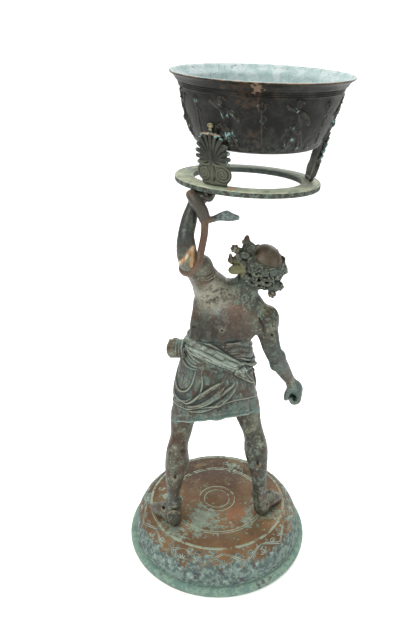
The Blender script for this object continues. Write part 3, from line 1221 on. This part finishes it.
def start_bronze(name):
    """Dark brown to olive bronze with grey-green crust, red where the metal wore bare and pale on what stands
    out. Gives the finish, its colour so far, and the tones that further coats share."""
    finish = Finish(name, metallic=0.2, gloss=0.3)
    wide = finish.noise(0.055, 4, 1.3)
    cloud = finish.noise(0.018, 6, 4.7, 0.6, 0.5)
    blot = finish.noise(0.0080, 6, 2.2, 0.62, 0.4)
    fine = finish.noise(0.0030, 6, 7.9, 0.62)
    grit = finish.noise(0.0009, 4, 3.6)
    crest = finish.crest()
    green = finish.rise(fine * 0.30 + blot * 0.40 + cloud * 0.15 + wide * 0.15 - crest * 0.2, 0.515, 0.565)
    crust = fine * 0.45 + finish.noise(0.011, 5, 9.4) * 0.6
    tone = finish.coat((0.060, 0.044, 0.030), (0.092, 0.096, 0.068), cloud, 0.43, 0.57)
    tone = finish.coat(tone, (0.036, 0.042, 0.033), wide, 0.46, 0.56, 0.7)
    tone = finish.coat(tone, (0.135, 0.062, 0.036), blot, 0.54, 0.61, 0.75)
    tone = finish.coat(tone, (0.230, 0.220, 0.150), fine * 0.6 + cloud * 0.5, 0.58, 0.65, 0.65)
    tone = finish.mix(green * 0.75, tone, (0.135, 0.205, 0.170))
    tone = finish.coat(tone, (0.250, 0.320, 0.275), crust, 0.60, 0.67, 0.45)
    tone = finish.coat(tone, (0.290, 0.240, 0.150), crest + fine * 0.3, 0.20, 0.42, 0.6)
    tone = finish.coat(tone, (0.018, 0.020, 0.016), fine * 0.3 - crest, 0.20, 0.36, 0.8)
    tone = finish.coat(tone, (0.030, 0.028, 0.022), grit, 0.58, 0.72, 0.45)
    return finish, tone, (cloud, blot, fine, grit, crest, green)


# Broad patches of tone, each a place and a reach in the figure's own points, a share and a colour: pale
# over the raised shoulder and down the spine, red on the ribs, dark on the forearm, blue-green low down
figure_patches = (
    ((-6, -22, 344), 26, 0.80, (0.330, 0.315, 0.240)), ((-1, -28, 322), 7, 0.80, (0.360, 0.420, 0.380)),
    ((2, -28, 308), 6, 0.65, (0.300, 0.350, 0.320)), ((20, -26, 318), 17, 0.65, (0.240, 0.125, 0.085)),
    ((34, -26, 308), 14, 0.45, (0.190, 0.200, 0.150)), ((-33, -12, 316), 13, 0.60, (0.150, 0.064, 0.040)),
    ((-12, -30, 292), 30, 0.85, (0.030, 0.027, 0.021)), ((16, -28, 294), 30, 0.85, (0.042, 0.030, 0.023)),
    ((-37, -42, 444), 40, 1.00, (0.036, 0.044, 0.040)), ((-30, -34, 384), 18, 0.60, (0.200, 0.225, 0.170)),
    ((107, 8, 183), 22, 0.65, (0.095, 0.170, 0.165)), ((26, -24, 366), 9, 0.80, (0.075, 0.165, 0.135)),
    ((78, -12, 252), 36, 0.55, (0.070, 0.100, 0.098)), ((60, -16, 324), 9, 0.55, (0.240, 0.205, 0.115)))


def paint_figure():
    """Patches on the skin, greener cloth with pale edges and dark valleys, dark hair, a brown bald head, one
    yellow-green leaf, and the bright brazed repair."""
    finish, tone, (cloud, blot, fine, grit, crest, green) = start_bronze("figure_patina")
    mottle = finish.rise(fine * 0.3 + blot * 0.7, 0.36, 0.56)
    for place, reach, share, colour in figure_patches:
        spot = finish.near(in_metres(place), reach * unit, (blot - 0.5) * 0.06, 0.45)
        tone = finish.mix(spot * mottle * share, tone, colour)
    cloth_share = finish.attribute("cloth")
    teal = finish.rise(blot * 0.6 + cloud * 0.4, 0.46, 0.55)
    edge = finish.rise(crest + fine * 0.3, 0.17, 0.34)
    valley = finish.rise(blot * 0.4 - crest, 0.20, 0.34)
    hair_tone = finish.coat((0.036, 0.040, 0.030), (0.075, 0.098, 0.078), blot, 0.46, 0.56)
    hair_tone = finish.coat(hair_tone, (0.150, 0.180, 0.125), crest + fine * 0.3, 0.22, 0.40)
    hair_tone = finish.coat(hair_tone, (0.008, 0.010, 0.009), fine * 0.3 - crest, 0.14, 0.26)
    streak = finish.noise(0.0040, 3, 5.2, stretch=(1, 1, 0.3))
    braze_tone = finish.coat((0.350, 0.200, 0.085), (0.620, 0.500, 0.350), streak, 0.44, 0.62)
    for share, colour in (
            (cloth_share * teal * 0.55, (0.080, 0.135, 0.125)),
            (finish.attribute("hem") * mottle * 0.6, (0.105, 0.200, 0.182)),
            (cloth_share * edge * 0.60, (0.270, 0.310, 0.245)),
            (finish.attribute("sash") * mottle * 0.72, (0.310, 0.370, 0.305)),
            (cloth_share * valley * 0.8, (0.022, 0.028, 0.025)),
            (finish.attribute("hair") * 0.85, hair_tone),
            (finish.attribute("dome") * 0.75, (0.088, 0.062, 0.036)),
            (finish.attribute("broad_leaf") * 0.6, (0.190, 0.185, 0.080)),
            (finish.attribute("braze"), braze_tone)):
        tone = finish.mix(share, tone, colour)
    finish.set("Base Color", tone)
    finish.set("Roughness", 0.46 + green * 0.28)
    finish.rough_up(fine * 0.6 + grit * 0.25 + blot * 0.5, 0.7, 0.0006)
    return finish


silenus, figure_points = figure.skin("silenus_casting", in_metres, paint_figure())
x, y, z = figure_points.T
outer, bearing = off_cloth(x, y, z)
from_head = (figure_points - head_centre) @ head_ways / head_radius
head_reach = np.linalg.norm(from_head, axis=1)
to_braze = np.full(len(figure_points), 99.0)
for spot in braze_line:
    # The repair lies on the back of the arm alone
    to_braze = np.minimum(to_braze, np.hypot(x - spot[0], z - spot[2]) + 9 * (y > -42) - spot[3])
along_sash = np.interp(bearing, (-180, -160, -136, -112, -90, -72, -52, -36),
                       (266, 270, 269, 266, 260, 253, 244, 238))
mark(silenus.data, {
    "cloth": (outer < 16) * (z < 284) * (z > hem(bearing) - 4) * ((x < 58) | (z < 190)),
    "hem": np.clip((6 - z + hem(bearing)) / 3, 0, 1) * (outer < 16) * (z > hem(bearing) - 2),
    "sash": np.clip((12 - np.abs(z - along_sash)) / 3, 0, 1) * (outer < 9) * (bearing < -40),
    "hair": np.clip((head_reach - 1.03) / 0.05, 0, 1) * (head_reach < 1.75),
    "dome": (head_reach < 1.03) * (from_head[:, 2] > 0.05),
    "broad_leaf": np.linalg.norm(figure_points - broad_leaf, axis=1) < 11.5,
    "braze": np.clip(1 - to_braze, 0, 1)})
# The level places need fewer faces than the folds and locks
thinner = silenus.modifiers.new("thin out", "DECIMATE")
thinner.ratio = min(1, figure_triangles / (2 * len(silenus.data.polygons)))
made_plain(silenus)
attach(silenus, "root")
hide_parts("silenus")

# Snake: one casting that comes down from the ring as a thick coil, stretches its head out to the side over
# the figure's shoulder and lets its tail wind down round the raised arm, in a redder metal than the figure.
snake_grain = 0.5
snake = Clay((-60, -72, 352), (28, 8, 482), snake_grain, 3)
snake.strand((-33, -40, 473, 5.8), (-28, -44.5, 467, 7.0), (-21, -47, 457, 7.2), (-17.5, -47, 447, 6.6),
             soft=1)
snake.strand((-20, -47, 453, 6), (-17, -47, 446.5, 5), (-9, -43.4, 445.6, 3.7), (-3, -41.4, 447, 3.9),
             (4, -40.4, 448.4, 5.4), (9, -40, 448.2, 5.7), (14, -40, 447.2, 4.6), (20, -40, 446.6, 3.0),
             soft=1.5)
for side in (-1, 1):
    snake.egg((9, -40 + side * 4.2, 450.4), (2.6, 2.2, 2.2), soft=0.8)
    snake.scoop((9.4, -40 + side * 5.9, 450.8), (1.0, 0.8, 1.0), soft=0.3)
    snake.strand((3.5, -40 + side * 3.4, 452.6, 0.7), (9, -40 + side * 4.8, 453, 0.9),
                 (15, -40 + side * 3.2, 450.4, 0.6), soft=0.6)
snake.groove((23, -40, 446.2, 0.9), (15, -40, 446.2, 0.55), soft=0.3)
for side in (-1, 1):
    snake.groove((22, -40 + side * 2.6, 446.3, 0.5), (14, -40 + side * 5.0, 446.4, 0.65),
                 (7, -40 + side * 6.2, 446.8, 0.5), soft=0.3)
tail = [(-17.5, -49, 447, 4.6), (-17.3, -50.3, 440, 4.4), (-17.6, -50.8, 433, 4.3),
        (-18.5, -51.5, 426, 4.2), (-20.5, -53, 416, 4.2), (-22.5, -55.5, 407, 4.2), (-24, -58, 398, 4.1)]
elbow, shoulder = np.array((-36, -47, 398.0)), np.array((-12, -4, 349.0))
down_arm = (shoulder - elbow) / np.linalg.norm(shoulder - elbow)
across_arm = np.cross(down_arm, (0, 0, 1))
across_arm /= np.linalg.norm(across_arm)
over_arm = np.cross(across_arm, down_arm)
tail_steps = 18
for step in range(1, tail_steps + 1):
    share = step / tail_steps
    turn = math.radians(-35 + 300 * share)
    offset = (across_arm * -math.sin(turn) - over_arm * math.cos(turn)) * (13.6 + 3.0 * share)
    thin = 1 - 0.6 * share * share * (3 - 2 * share)
    tail.append((*(elbow + down_arm * (6 + 20 * share) + offset), 4.2 * thin))
snake.strand(*tail, soft=1.2)
snake.trim(lambda x, y, z: above_ring(x, z))


def paint_snake():
    """Redder than the figure, with a pale head, a dark coil under the ring, and fine scales."""
    finish, tone, (_, blot, fine, _, _, green) = start_bronze("snake_patina")
    head = finish.near(in_metres((9, -40, 448)), 0.020, blot * 0.006)
    coil = finish.near(in_metres((-24, -46, 461)), 0.019, blot * 0.004)
    pale = finish.coat((0.050, 0.058, 0.052), (0.170, 0.225, 0.215), fine * 0.5 + blot * 0.5, 0.42, 0.60)
    tone = finish.mix(0.6, tone, (0.125, 0.066, 0.042))
    tone = finish.mix(head, tone, pale)
    finish.set("Base Color", finish.mix(coil * 0.75, tone, (0.052, 0.060, 0.048)))
    finish.set("Roughness", 0.46 + green * 0.25)
    finish.rough_up(fine * 0.6 - finish.cells(0.0016) * 0.5, 0.5, 0.0004)
    return finish


snake_piece = snake.skin("snake_casting", in_metres, paint_snake(), crest_reach=1.2)[0]
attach(snake_piece, "root")
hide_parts("snake")

# Ring: a flat annular band, turned, with a fine groove near each edge. It lies on the raised hand, a little
# out of level; pale green crust covers its top, and bare copper shows where the palmettes stand.
ring_outer_radius = 0.0888
ring_width = 0.0226
ring_thickness = 0.0070
ring_edge = 0.0016
ring_line_inset = 0.0032
ring_line_depth = 0.0004
ring_centre = Vector((0.034571, 0.020314, 0.536686))
ring_place = Matrix.Translation(ring_centre) @ Matrix.Rotation(ring_tilt, 4, "Y")
ring_inner_radius = ring_outer_radius - ring_width
ring_mid_radius = ring_outer_radius - ring_width / 2
half = ring_thickness / 2
ring_profile = []
for radius_sign, corner_radius in ((1, ring_outer_radius), (-1, ring_inner_radius)):
    for height_sign in ((1, -1) if radius_sign > 0 else (-1, 1)):
        arc = []
        for step in range(5):
            turn = math.radians(22.5 * step)
            across = ring_edge * (1 - math.sin(turn))
            down = ring_edge * (1 - math.cos(turn))
            arc.append((corner_radius - radius_sign * across, height_sign * (half - down)))
        ring_profile += arc if radius_sign * height_sign > 0 else arc[::-1]
for side in (-1, 1):
    line = (ring_outer_radius if side > 0 else ring_inner_radius) - side * ring_line_inset
    cut = [(line - 0.0005, half), (line, half - ring_line_depth), (line + 0.0005, half)]
    ring_profile = cut + ring_profile if side > 0 else ring_profile + cut


def paint_ring():
    """Pale green crust on top, darker at the back and below, and bare copper where a palmette stands."""
    finish = Finish("ring_patina", metallic=0.12, gloss=0.3)
    cloud = finish.noise(0.015, 6, 2.4, 0.6, 0.6)
    blot = finish.noise(0.0055, 6, 6.2, 0.62)
    fine = finish.noise(0.0018, 5, 3.1, 0.6)
    normal = finish.node("ShaderNodeNewGeometry", {}, {}, "Normal")
    facing_up = finish.node("ShaderNodeSeparateXYZ", {}, {"Vector": normal}, "Z")
    at_back = finish.rise(finish.along("Y"), 0.010, 0.060) * finish.rise(cloud, 0.30, 0.50)
    copper = finish.near((0.0125, -0.0560, 0.5384), 0.0115, blot * 0.010)
    dark = finish.coat((0.045, 0.044, 0.032), (0.110, 0.150, 0.125), blot, 0.44, 0.60)
    tone = finish.coat((0.300, 0.350, 0.250), (0.500, 0.520, 0.360), cloud, 0.38, 0.60)
    tone = finish.coat(tone, (0.190, 0.165, 0.100), blot, 0.55, 0.68, 0.8)
    tone = finish.coat(tone, (0.420, 0.560, 0.500), fine * 0.5 + cloud * 0.5, 0.55, 0.66, 0.7)
    tone = finish.coat(tone, dark, facing_up + blot * 0.4, 0.62, 0.30)
    tone = finish.mix(at_back * 0.75, tone, (0.070, 0.090, 0.080))
    finish.set("Base Color", finish.mix(copper, tone, (0.430, 0.255, 0.140)))
    finish.set("Roughness", 0.60 + blot * 0.2)
    finish.rough_up(blot * 0.6 + fine * 0.5, 0.6, 0.0004)
    return finish


ring_steps = 224
ring_piece = turned("ring_casting", ring_profile, ring_steps, paint_ring())
ring_piece.data.transform(ring_place)
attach(ring_piece, "root")
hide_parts("ring")

# Palmettes: three cast plaques soldered on the ring, each two volutes below a fan of scooped leaves, with a
# stud at its tip that grips the bowl. The front one has lost the end of its middle leaves.
palmette_height = 0.064
palmette_drawn_height = 61
# Each palmette's bearing on the ring, and how far out its top meets the bowl
palmette_tops = {"palmette_front": (238, 0.08658), "palmette_side": (3, 0.09417),
                 "palmette_back": (123, 0.06914)}
palmette_foot_radius = ring_mid_radius - 0.001
palmette_touch = palmette_height * 0.93
palmette_grain = 0.42
palmette_leaves = 13
break_height = 54.6


def model_palmette(broken):
    """Models one plaque flat, in millimetres across, out and up."""
    clay = Clay((-24, -6, -3), (24, 8, 68), palmette_grain, 3)
    # Foot and back plate
    clay.strand((-13, 0, 2.6, 2.7), (13, 0, 2.6, 2.7), soft=1.2)
    for number in range(9):
        across = -15 + 3.75 * number
        clay.strand((across, 0, 6, 2.2), (across, -0.4, 27, 2.2), soft=1.2)
        clay.strand((across, -0.4, 26, 2.2), (across * 0.86, -0.6, 50 - abs(across) * 0.45, 2.1), soft=1.2)
    # Volutes: a dished disc, a rounded spiral band on it and a button at the eye
    for side in (-1, 1):
        clay.egg((side * 11.2, 0.3, 13.2), (10.0, 2.6, 9.6), soft=1.2)
        spiral = []
        for step in range(46):
            turn = math.radians(100 + 19 * step)
            reach = 9.0 * (1 - step / 50)
            across = side * (11.2 - reach * math.cos(turn) * 1.02)
            spiral.append((across, 2.2, 13.2 + reach * 0.96 * math.sin(turn), 1.15))
        clay.strand(*spiral, soft=0.4)
        clay.egg((side * 11.2, 2.4, 13.2), (1.6, 1.5, 1.6), soft=0.3)
        clay.strand((side * 1.6, 1.6, 30, 1.2), (side * 2.4, 2.2, 24, 1.4), (side * 6.4, 2.4, 22.2, 1.3),
                    (side * 11.2, 2.3, 22.2, 1.1), soft=0.5)
        clay.strand((side * 15, 1.4, 3.4, 1.1), (side * 6, 1.7, 3.0, 1.3), (side * 1.4, 1.6, 4.6, 1.0),
                    soft=0.5)
    clay.strand((0, 2.2, 6, 1.2), (0, 2.8, 12, 1.9), (0, 2.4, 20, 1.0), soft=0.6)
    for side in (-1, 1):
        clay.strand((side * 0.6, 2.2, 20, 0.8), (side * 2.0, 2.4, 15, 0.9), (side * 2.6, 2.2, 10, 0.6),
                    soft=0.4)
    clay.strand((-4, 1.6, 3.0, 1.2), (0, 2.2, 2.2, 1.4), (4, 1.6, 3.0, 1.2), soft=0.5)
    # Fan of leaves with beaded ends, all raised first and then scooped
    fan = []
    for number in range(palmette_leaves):
        lean = math.radians(-112 + 224 * number / (palmette_leaves - 1))
        reach = 26.5 - 6.5 * abs(math.sin(lean)) ** 2
        tip = (18.6 * math.sin(lean), 31 + reach * 0.93 * math.cos(lean))
        fan.append((tip, (tip[0] * 0.62, 27 + (tip[1] - 27) * 0.66)))
    for tip, bend in fan:
        clay.strand((tip[0] * 0.10, 1.4, 27, 0.8), (bend[0], 1.6, bend[1], 1.7), (tip[0], 1.3, tip[1], 2.3),
                    soft=0.5)
    for tip, bend in fan:
        clay.groove((tip[0] * 0.28, 3.4, 27 + (tip[1] - 27) * 0.3, 0.5), (bend[0], 4.0, bend[1], 1.05),
                    (tip[0] * 0.97, 4.4, 27 + (tip[1] - 27) * 0.97, 1.35), soft=0.4)
    clay.strand((0, 2.4, 27, 1.6), (0, 2.8, 33, 2.2), (0, 2.2, 40, 0.9), soft=0.6)
    if broken:
        clay.trim(lambda x, y, z: z - (break_height + 0.7 * np.sin(1.3 * x) + 0.5 * np.sin(2.9 * x + 1)))
        clay.strand((-11, 1.0, 52.6, 1.2), (-4, 2.4, 54.4, 1.6), (4, 2.4, 54.2, 1.5), (11, 1.0, 52.4, 1.1),
                    soft=0.8)
    # Stud, then a flat foot and back
    clay.strand((0, -0.4, 53, 1.7), (0, -0.2, 60, 1.5), soft=0.8)
    clay.egg((0, 0.2, 57.5), (2.3, 2.1, 1.6), soft=0.5)
    clay.egg((0.4, 0.4, 62.2), (3.3, 2.7, 2.7), soft=0.5)
    clay.trim(lambda x, y, z: np.maximum(0.4 - z, -3.0 - y))
    return clay


def paint_palmette(name):
    """Dark bronze, paler low down and on its crests, with green crust at the leaves' ends, bare metal at the
    break and a yellower stud."""
    finish = Finish(name, metallic=0.2, gloss=0.3)
    cloud = finish.noise(0.011, 6, 1.9, 0.6, 0.4)
    blot = finish.noise(0.0042, 6, 7.7, 0.62)
    fine = finish.noise(0.0015, 5, 4.6, 0.6)
    crest = finish.crest()
    crust = finish.rise(finish.attribute("edge") * 0.20 + blot * 0.7 + cloud * 0.25, 0.650, 0.70)
    bare = finish.attribute("worn") * finish.rise(fine * 0.5 + blot * 0.5, 0.40, 0.50)
    tone = finish.coat((0.020, 0.020, 0.015), (0.038, 0.041, 0.030), cloud, 0.42, 0.60)
    tone = finish.mix(finish.attribute("low") * 0.6, tone, (0.120, 0.125, 0.085))
    tone = finish.coat(tone, (0.150, 0.160, 0.115), crest + fine * 0.3, 0.22, 0.46, 0.5)
    tone = finish.coat(tone, (0.012, 0.014, 0.011), fine * 0.3 - crest, 0.20, 0.36, 0.85)
    tone = finish.mix(crust * 0.85, tone, (0.210, 0.330, 0.310))
    tone = finish.mix(bare, tone, (0.420, 0.290, 0.190))
    tone = finish.mix(finish.attribute("stud") * finish.rise(blot, 0.36, 0.54), tone, (0.260, 0.235, 0.135))
    finish.set("Base Color", tone)
    finish.set("Roughness", 0.50 + crust * 0.3)
    finish.rough_up(blot * 0.6 + fine * 0.5, 0.6, 0.0003)
    return finish


def onto_ring(points, bearing, top_radius):
    """Bends a flat plaque's points onto the ring and the bowl."""
    across, out, up = (points / 1000 * (1, 1, palmette_height * 1000 / palmette_drawn_height)).T
    climb = np.minimum(1, up / palmette_touch)
    radius = palmette_foot_radius + (top_radius - palmette_foot_radius) * climb + out
    turn = math.radians(bearing) + across / ring_mid_radius
    height = half + up - math.tan(ring_tilt) * radius * np.cos(turn)
    return np.array(ring_centre) + np.stack([radius * np.cos(turn), radius * np.sin(turn), height], 1)


for name, (bearing, top_radius) in palmette_tops.items():
    broken = name == "palmette_front"
    palmette, points = model_palmette(broken).skin(
        name + "_casting", lambda flat: onto_ring(flat, bearing, top_radius),
        paint_palmette(name + "_patina"), crest_reach=1.1)
    x, y, z = points.T
    mark(palmette.data, {"edge": np.clip((np.hypot(x, (z - 33) * 0.85) - 14) / 5, 0, 1) * (z > 24),
                         "worn": np.clip(1 - np.abs(z - 54.2) / 1.3, 0, 1) * broken,
                         "stud": np.clip((z - 55.5) / 1.5, 0, 1), "low": np.clip((27 - z) / 4, 0, 1)})
    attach(palmette, "root")
    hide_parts(name)

# Bowl: a wide deep basin of thin bronze with a flared lip, turned mouldings below it and dancers in relief
# round its wall. It hangs between the palmettes, tipped a little, dark outside and pale blue-green inside.
bowl_rim_radius = 0.1043
bowl_foot_radius = 0.0705
bowl_depth = 0.0762
bowl_wall = 0.0028
bowl_foot_round = 0.006
bowl_lip_overhang = 0.0085
bowl_place = (Matrix.Translation((0.044071, 0.012414, 0.583186)) @ Matrix.Rotation(math.radians(4), 4, "X")
              @ Matrix.Rotation(math.radians(2), 4, "Y"))
bowl_columns = 500
frieze_figures = 7
frieze = Drawing(0, bowl_depth * 1000, 0.4, 1.52, 0.3)


def draw(bearing, height, *stations):
    """One rounded limb, pleat or stalk, in millimetres to the side of a bearing and above the foot."""
    frieze.limb([(bearing + x / frieze.girth, z, radius) for x, z, radius in stations], height)


def dance(bearing, s, lively):
    """One dancer in a long thin dress who looks back over a shoulder; s is the side the body sways to."""
    frieze.settle()
    draw(bearing, 1.5, (s * 2.6, 24, 5), (s * 6, 15, 4.2), (s * 9, 9, 2.6))
    draw(bearing, 1.5, (-s * 2, 24, 5), (-s * 7, 16, 4.2), (-s * 12, 10, 2.4))
    frieze.settle()
    for pleat in range(-2, 3):
        draw(bearing, 0.9, (s * pleat * 0.9, 30, 1.0), (s * (pleat * 3.6 - 1), 18, 1.3),
             (s * (pleat * 5.4 - 2), 9.5, 0.9))
    draw(bearing, 1.0, (s * 5, 32, 1.4), (s * 12, 27, 1.6), (s * 16, 19, 1.1))
    frieze.settle()
    draw(bearing, 2.1, (-s * 0.6, 28, 5.2), (0, 37, 3.7), (s * 2.4, 46, 4.2))
    draw(bearing, 1.8, (s * 2.4, 47, 2.4), (s * 9, 46 + 3 * lively, 2.0), (s * 14.5, 52, 1.7),
         (s * 16, 53.5, 1.9))
    draw(bearing, 1.8, (s * 1, 47, 2.4), (-s * 8, 43, 2.0), (-s * 14, 38 - 4 * lively, 1.6))
    frieze.settle()
    draw(bearing, 2.2, (s * 3.4, 50, 1.8), (s * 4, 54.5, 3.3), (s * 4.4, 56.5, 3.2))
    draw(bearing, 1.6, (s * 0.8, 57, 2.0), (-s * 1.2, 56, 1.6))
    draw(bearing, 0.7, (s * 0.4, 38, 1.2), (s * 3.4, 45, 1.0))


def staff(bearing, lean):
    """A long staff that ends in a bud of leaves, with a ribbon."""
    frieze.settle()
    draw(bearing, 1.2, (-lean, 10, 1.0), (lean, 48, 1.2))
    draw(bearing, 0.9, (lean, 44, 0.8), (lean + 5, 40, 1.2), (lean + 3, 34, 0.8), (lean + 7, 29, 0.5))
    frieze.settle()
    for side in (-1, 0, 1):
        tip = (lean + side * 2.4, 56 - abs(side) * 2, 0.6)
        draw(bearing, 1.7, (lean, 46, 1.0), (lean + side * 3.2, 51, 1.7), tip)


for number in range(frieze_figures):
    turn = 360 * (number + 0.45) / frieze_figures - 90
    dance(turn, 1 if number % 2 else -1, number % 3 == 0)
    staff(turn + 180 / frieze_figures, 1.5 if number % 2 else -1.5)
for lump in range(40):
    turn = 9 * lump + 3 * math.sin(2.1 * lump)
    frieze.settle()
    low, high = 5.5 + 1.5 * math.sin(1.7 * lump), 7 + 1.5 * math.sin(2.9 * lump)
    frieze.limb([(turn, low, 2.2), (turn + 2.4, high, 1.4)], 0.6)


def bowl_wall_radius(height):
    share = max(0.0, height / bowl_depth)
    return bowl_foot_radius + (bowl_rim_radius - bowl_lip_overhang - bowl_foot_radius) * share ** 0.62


def bowl_section():
    """The section from the lip's inner edge over the lip, down the wall to the middle of the underside, and
    back up the inside: radius, height, and whether the frieze lifts that point."""
    lip = bowl_depth - 0.0028
    rim = bowl_rim_radius
    points = [(rim - 0.0022, bowl_depth, 0), (rim - 0.0009, bowl_depth - 0.0001, 0),
              (rim - 0.0001, bowl_depth - 0.0007, 0), (rim, bowl_depth - 0.0013, 0),
              (rim - 0.0006, lip + 0.0008, 0), (rim - 0.0015, lip, 0)]
    for step in range(1, 8):
        share = step / 8
        points.append((rim - 0.0015 - 0.0066 * share ** 0.62, lip - 0.0074 * share, 0))
    # Three turned mouldings: how far below the lip, and how far each point stands proud
    for drop, proud in ((0.0078, 0.0002), (0.0084, 0.0010), (0.0091, 0.0010), (0.0096, 0.0), (0.0100, 0.0),
                        (0.0105, 0.0008), (0.0111, 0.0008), (0.0115, -0.0001), (0.0119, -0.0001),
                        (0.0123, 0.0006), (0.0128, 0.0006), (0.0132, -0.0001)):
        height = lip - drop
        points.append((bowl_wall_radius(height) + 0.0004 + proud, height, 0))
    wall_steps = 130
    top = lip - 0.0136
    for step in range(wall_steps + 1):
        height = top + (bowl_foot_round - top) * step / wall_steps
        points.append((bowl_wall_radius(height), height, 1))
    toe = bowl_wall_radius(bowl_foot_round)
    for step in range(1, 8):
        turn = math.radians(90 * step / 7)
        points.append((toe - bowl_foot_round * 1.4 * (1 - math.cos(turn)),
                       bowl_foot_round * (1 - math.sin(turn)), 0))
    points += [(toe * share, 0.0, 0) for share in (0.75, 0.4, 0.1)]
    points += [(0.0004, 0, 0), (0.0004, bowl_wall, 0)]
    points += [(toe * share, bowl_wall, 0) for share in (0.1, 0.4, 0.7, 0.85)]
    points += [(toe - 2.0 * bowl_wall, bowl_wall * 1.4, 0),
               (toe - 1.35 * bowl_wall, bowl_foot_round * 1.1, 0)]
    for step in range(1, 22):
        height = bowl_depth * (0.10 + 0.78 * step / 21)
        points.append((bowl_wall_radius(height) - bowl_wall, height, 0))
    points += [(rim - 0.0072, bowl_depth - 0.0062, 0), (rim - 0.0046, bowl_depth - 0.0028, 0)]
    return np.array(points)


def paint_bowl():
    """Near black outside with blue-green in the hollows and rubbed brown, and a bright worn rim."""
    finish = Finish("bowl_patina", gloss=0.14)
    wide = finish.noise(0.050, 4, 2.3)
    cloud = finish.noise(0.016, 6, 5.1, 0.6, 0.5)
    blot = finish.noise(0.006, 6, 3.7, 0.62, 0.3)
    fine = finish.noise(0.0022, 6, 8.2, 0.62)
    crest = finish.crest()
    inside, rim, near_rim, low = (finish.attribute(name) for name in ("inside", "rim", "near_rim", "low"))
    tone = finish.coat((0.007, 0.007, 0.006), (0.015, 0.015, 0.012), cloud, 0.42, 0.60)
    tone = finish.coat(tone, (0.034, 0.033, 0.025), fine * 0.5 + cloud * 0.5, 0.54, 0.62, 0.7)
    tone = finish.mix(low * finish.rise(blot, 0.42, 0.56) * 0.6, tone, (0.060, 0.066, 0.054))
    tone = finish.coat(tone, (0.060, 0.036, 0.020), blot * 0.6 + wide * 0.5, 0.60, 0.66, 0.5)
    at_right = finish.rise(finish.along("X"), 0.095, 0.140) * finish.rise(blot, 0.46, 0.58)
    tone = finish.mix(at_right * 0.5, tone, (0.070, 0.084, 0.070))
    tone = finish.coat(tone, (0.075, 0.062, 0.043), crest + fine * 0.3, 0.22, 0.55, 0.45)
    turquoise = finish.rise(blot * 0.75 + finish.noise(0.011, 4, 6.6) * 0.5 - crest * 0.15, 0.700, 0.745)
    turquoise = turquoise * finish.attribute("carved")
    tone = finish.mix(turquoise * 0.85, tone, (0.200, 0.340, 0.330))
    ragged = (finish.noise(0.004, 5, 1.1) - 0.5) * 0.03
    patch = finish.near(bowl_place @ Vector((-0.0129, -0.0970, 0.0715)), 0.0052, ragged)
    tone = finish.mix(patch * 0.8, tone, (0.190, 0.125, 0.080))
    pale = finish.coat((0.330, 0.420, 0.410), (0.470, 0.530, 0.520), cloud, 0.40, 0.60)
    pale = finish.coat(pale, (0.230, 0.330, 0.320), fine * 0.6 + blot * 0.4, 0.50, 0.60, 0.7)
    pale = finish.coat(pale, (0.150, 0.190, 0.160), blot * 0.5 + fine * 0.5, 0.60, 0.65, 0.7)
    pale = finish.coat(pale, (0.250, 0.310, 0.260), near_rim * 0.20 + blot * 0.5 + fine * 0.3, 0.62, 0.68,
                       0.8)
    pale = finish.coat(pale, (0.060, 0.062, 0.045), near_rim * 0.22 + cloud * 0.4 + fine * 0.4, 0.68, 0.72)
    tone = finish.mix(inside, tone, pale)
    tone = finish.mix(rim * finish.rise(fine * 0.5 + cloud * 0.5, 0.44, 0.54), tone, (0.330, 0.190, 0.105))
    finish.set("Base Color", tone)
    finish.set("Roughness", 0.42 + inside * 0.45 + turquoise * 0.3)
    finish.rough_up(fine * 0.5 + blot * 0.5 + inside * fine * 0.6, 0.5, 0.0004)
    return finish


def grow_bowl():
    section = bowl_section()
    bearings = 360 * np.arange(bowl_columns) / bowl_columns - 180
    turns = np.radians(bearings)

    def around_wall(chart):
        return np.stack([frieze.reading(bearings, np.full(bowl_columns, height * 1000), chart) * carved
                         for _, height, carved in section])

    lifts = around_wall(frieze.lift) / 1000
    ridges = around_wall(frieze.ridges(1.8))
    reach = section[:, :1] + lifts
    heights = np.repeat(section[:, 1:2], bowl_columns, 1)
    points = np.stack([reach * np.cos(turns), reach * np.sin(turns), heights], 2)
    rows = len(section)
    index = np.arange(rows * bowl_columns).reshape(rows, bowl_columns)
    after = np.roll(index, -1, axis=1)
    below = np.roll(index, -1, axis=0)
    below_after = np.roll(after, -1, axis=0)
    faces = np.stack([index, below, below_after, after], 2).reshape(-1, 4)
    mesh = bpy.data.meshes.new("bowl_casting")
    mesh.from_pydata(points.reshape(-1, 3).tolist(), [], faces.tolist())
    mesh.transform(bowl_place)
    mesh.shade_smooth()
    outside_rows = np.argmax(section[:, 0] < 0.001)
    row = np.arange(rows)
    height = section[:, 1]
    inside = (row > outside_rows) | (row < 2)
    mark(mesh, {"crest": ridges, "carved": np.clip(np.abs(lifts) * 1200, 0, 1)})
    by_row = {"inside": inside, "rim": row == 2,
              "near_rim": np.clip((height - 0.045) / 0.03, 0, 1) * inside,
              "low": np.clip(1 - height / 0.03, 0, 1) * (row <= outside_rows)}
    mark(mesh, {label: np.repeat(values, bowl_columns) for label, values in by_row.items()})
    return new_piece("bowl_casting", mesh, paint_bowl())


bowl = grow_bowl()
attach(bowl, "root")
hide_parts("bowl")
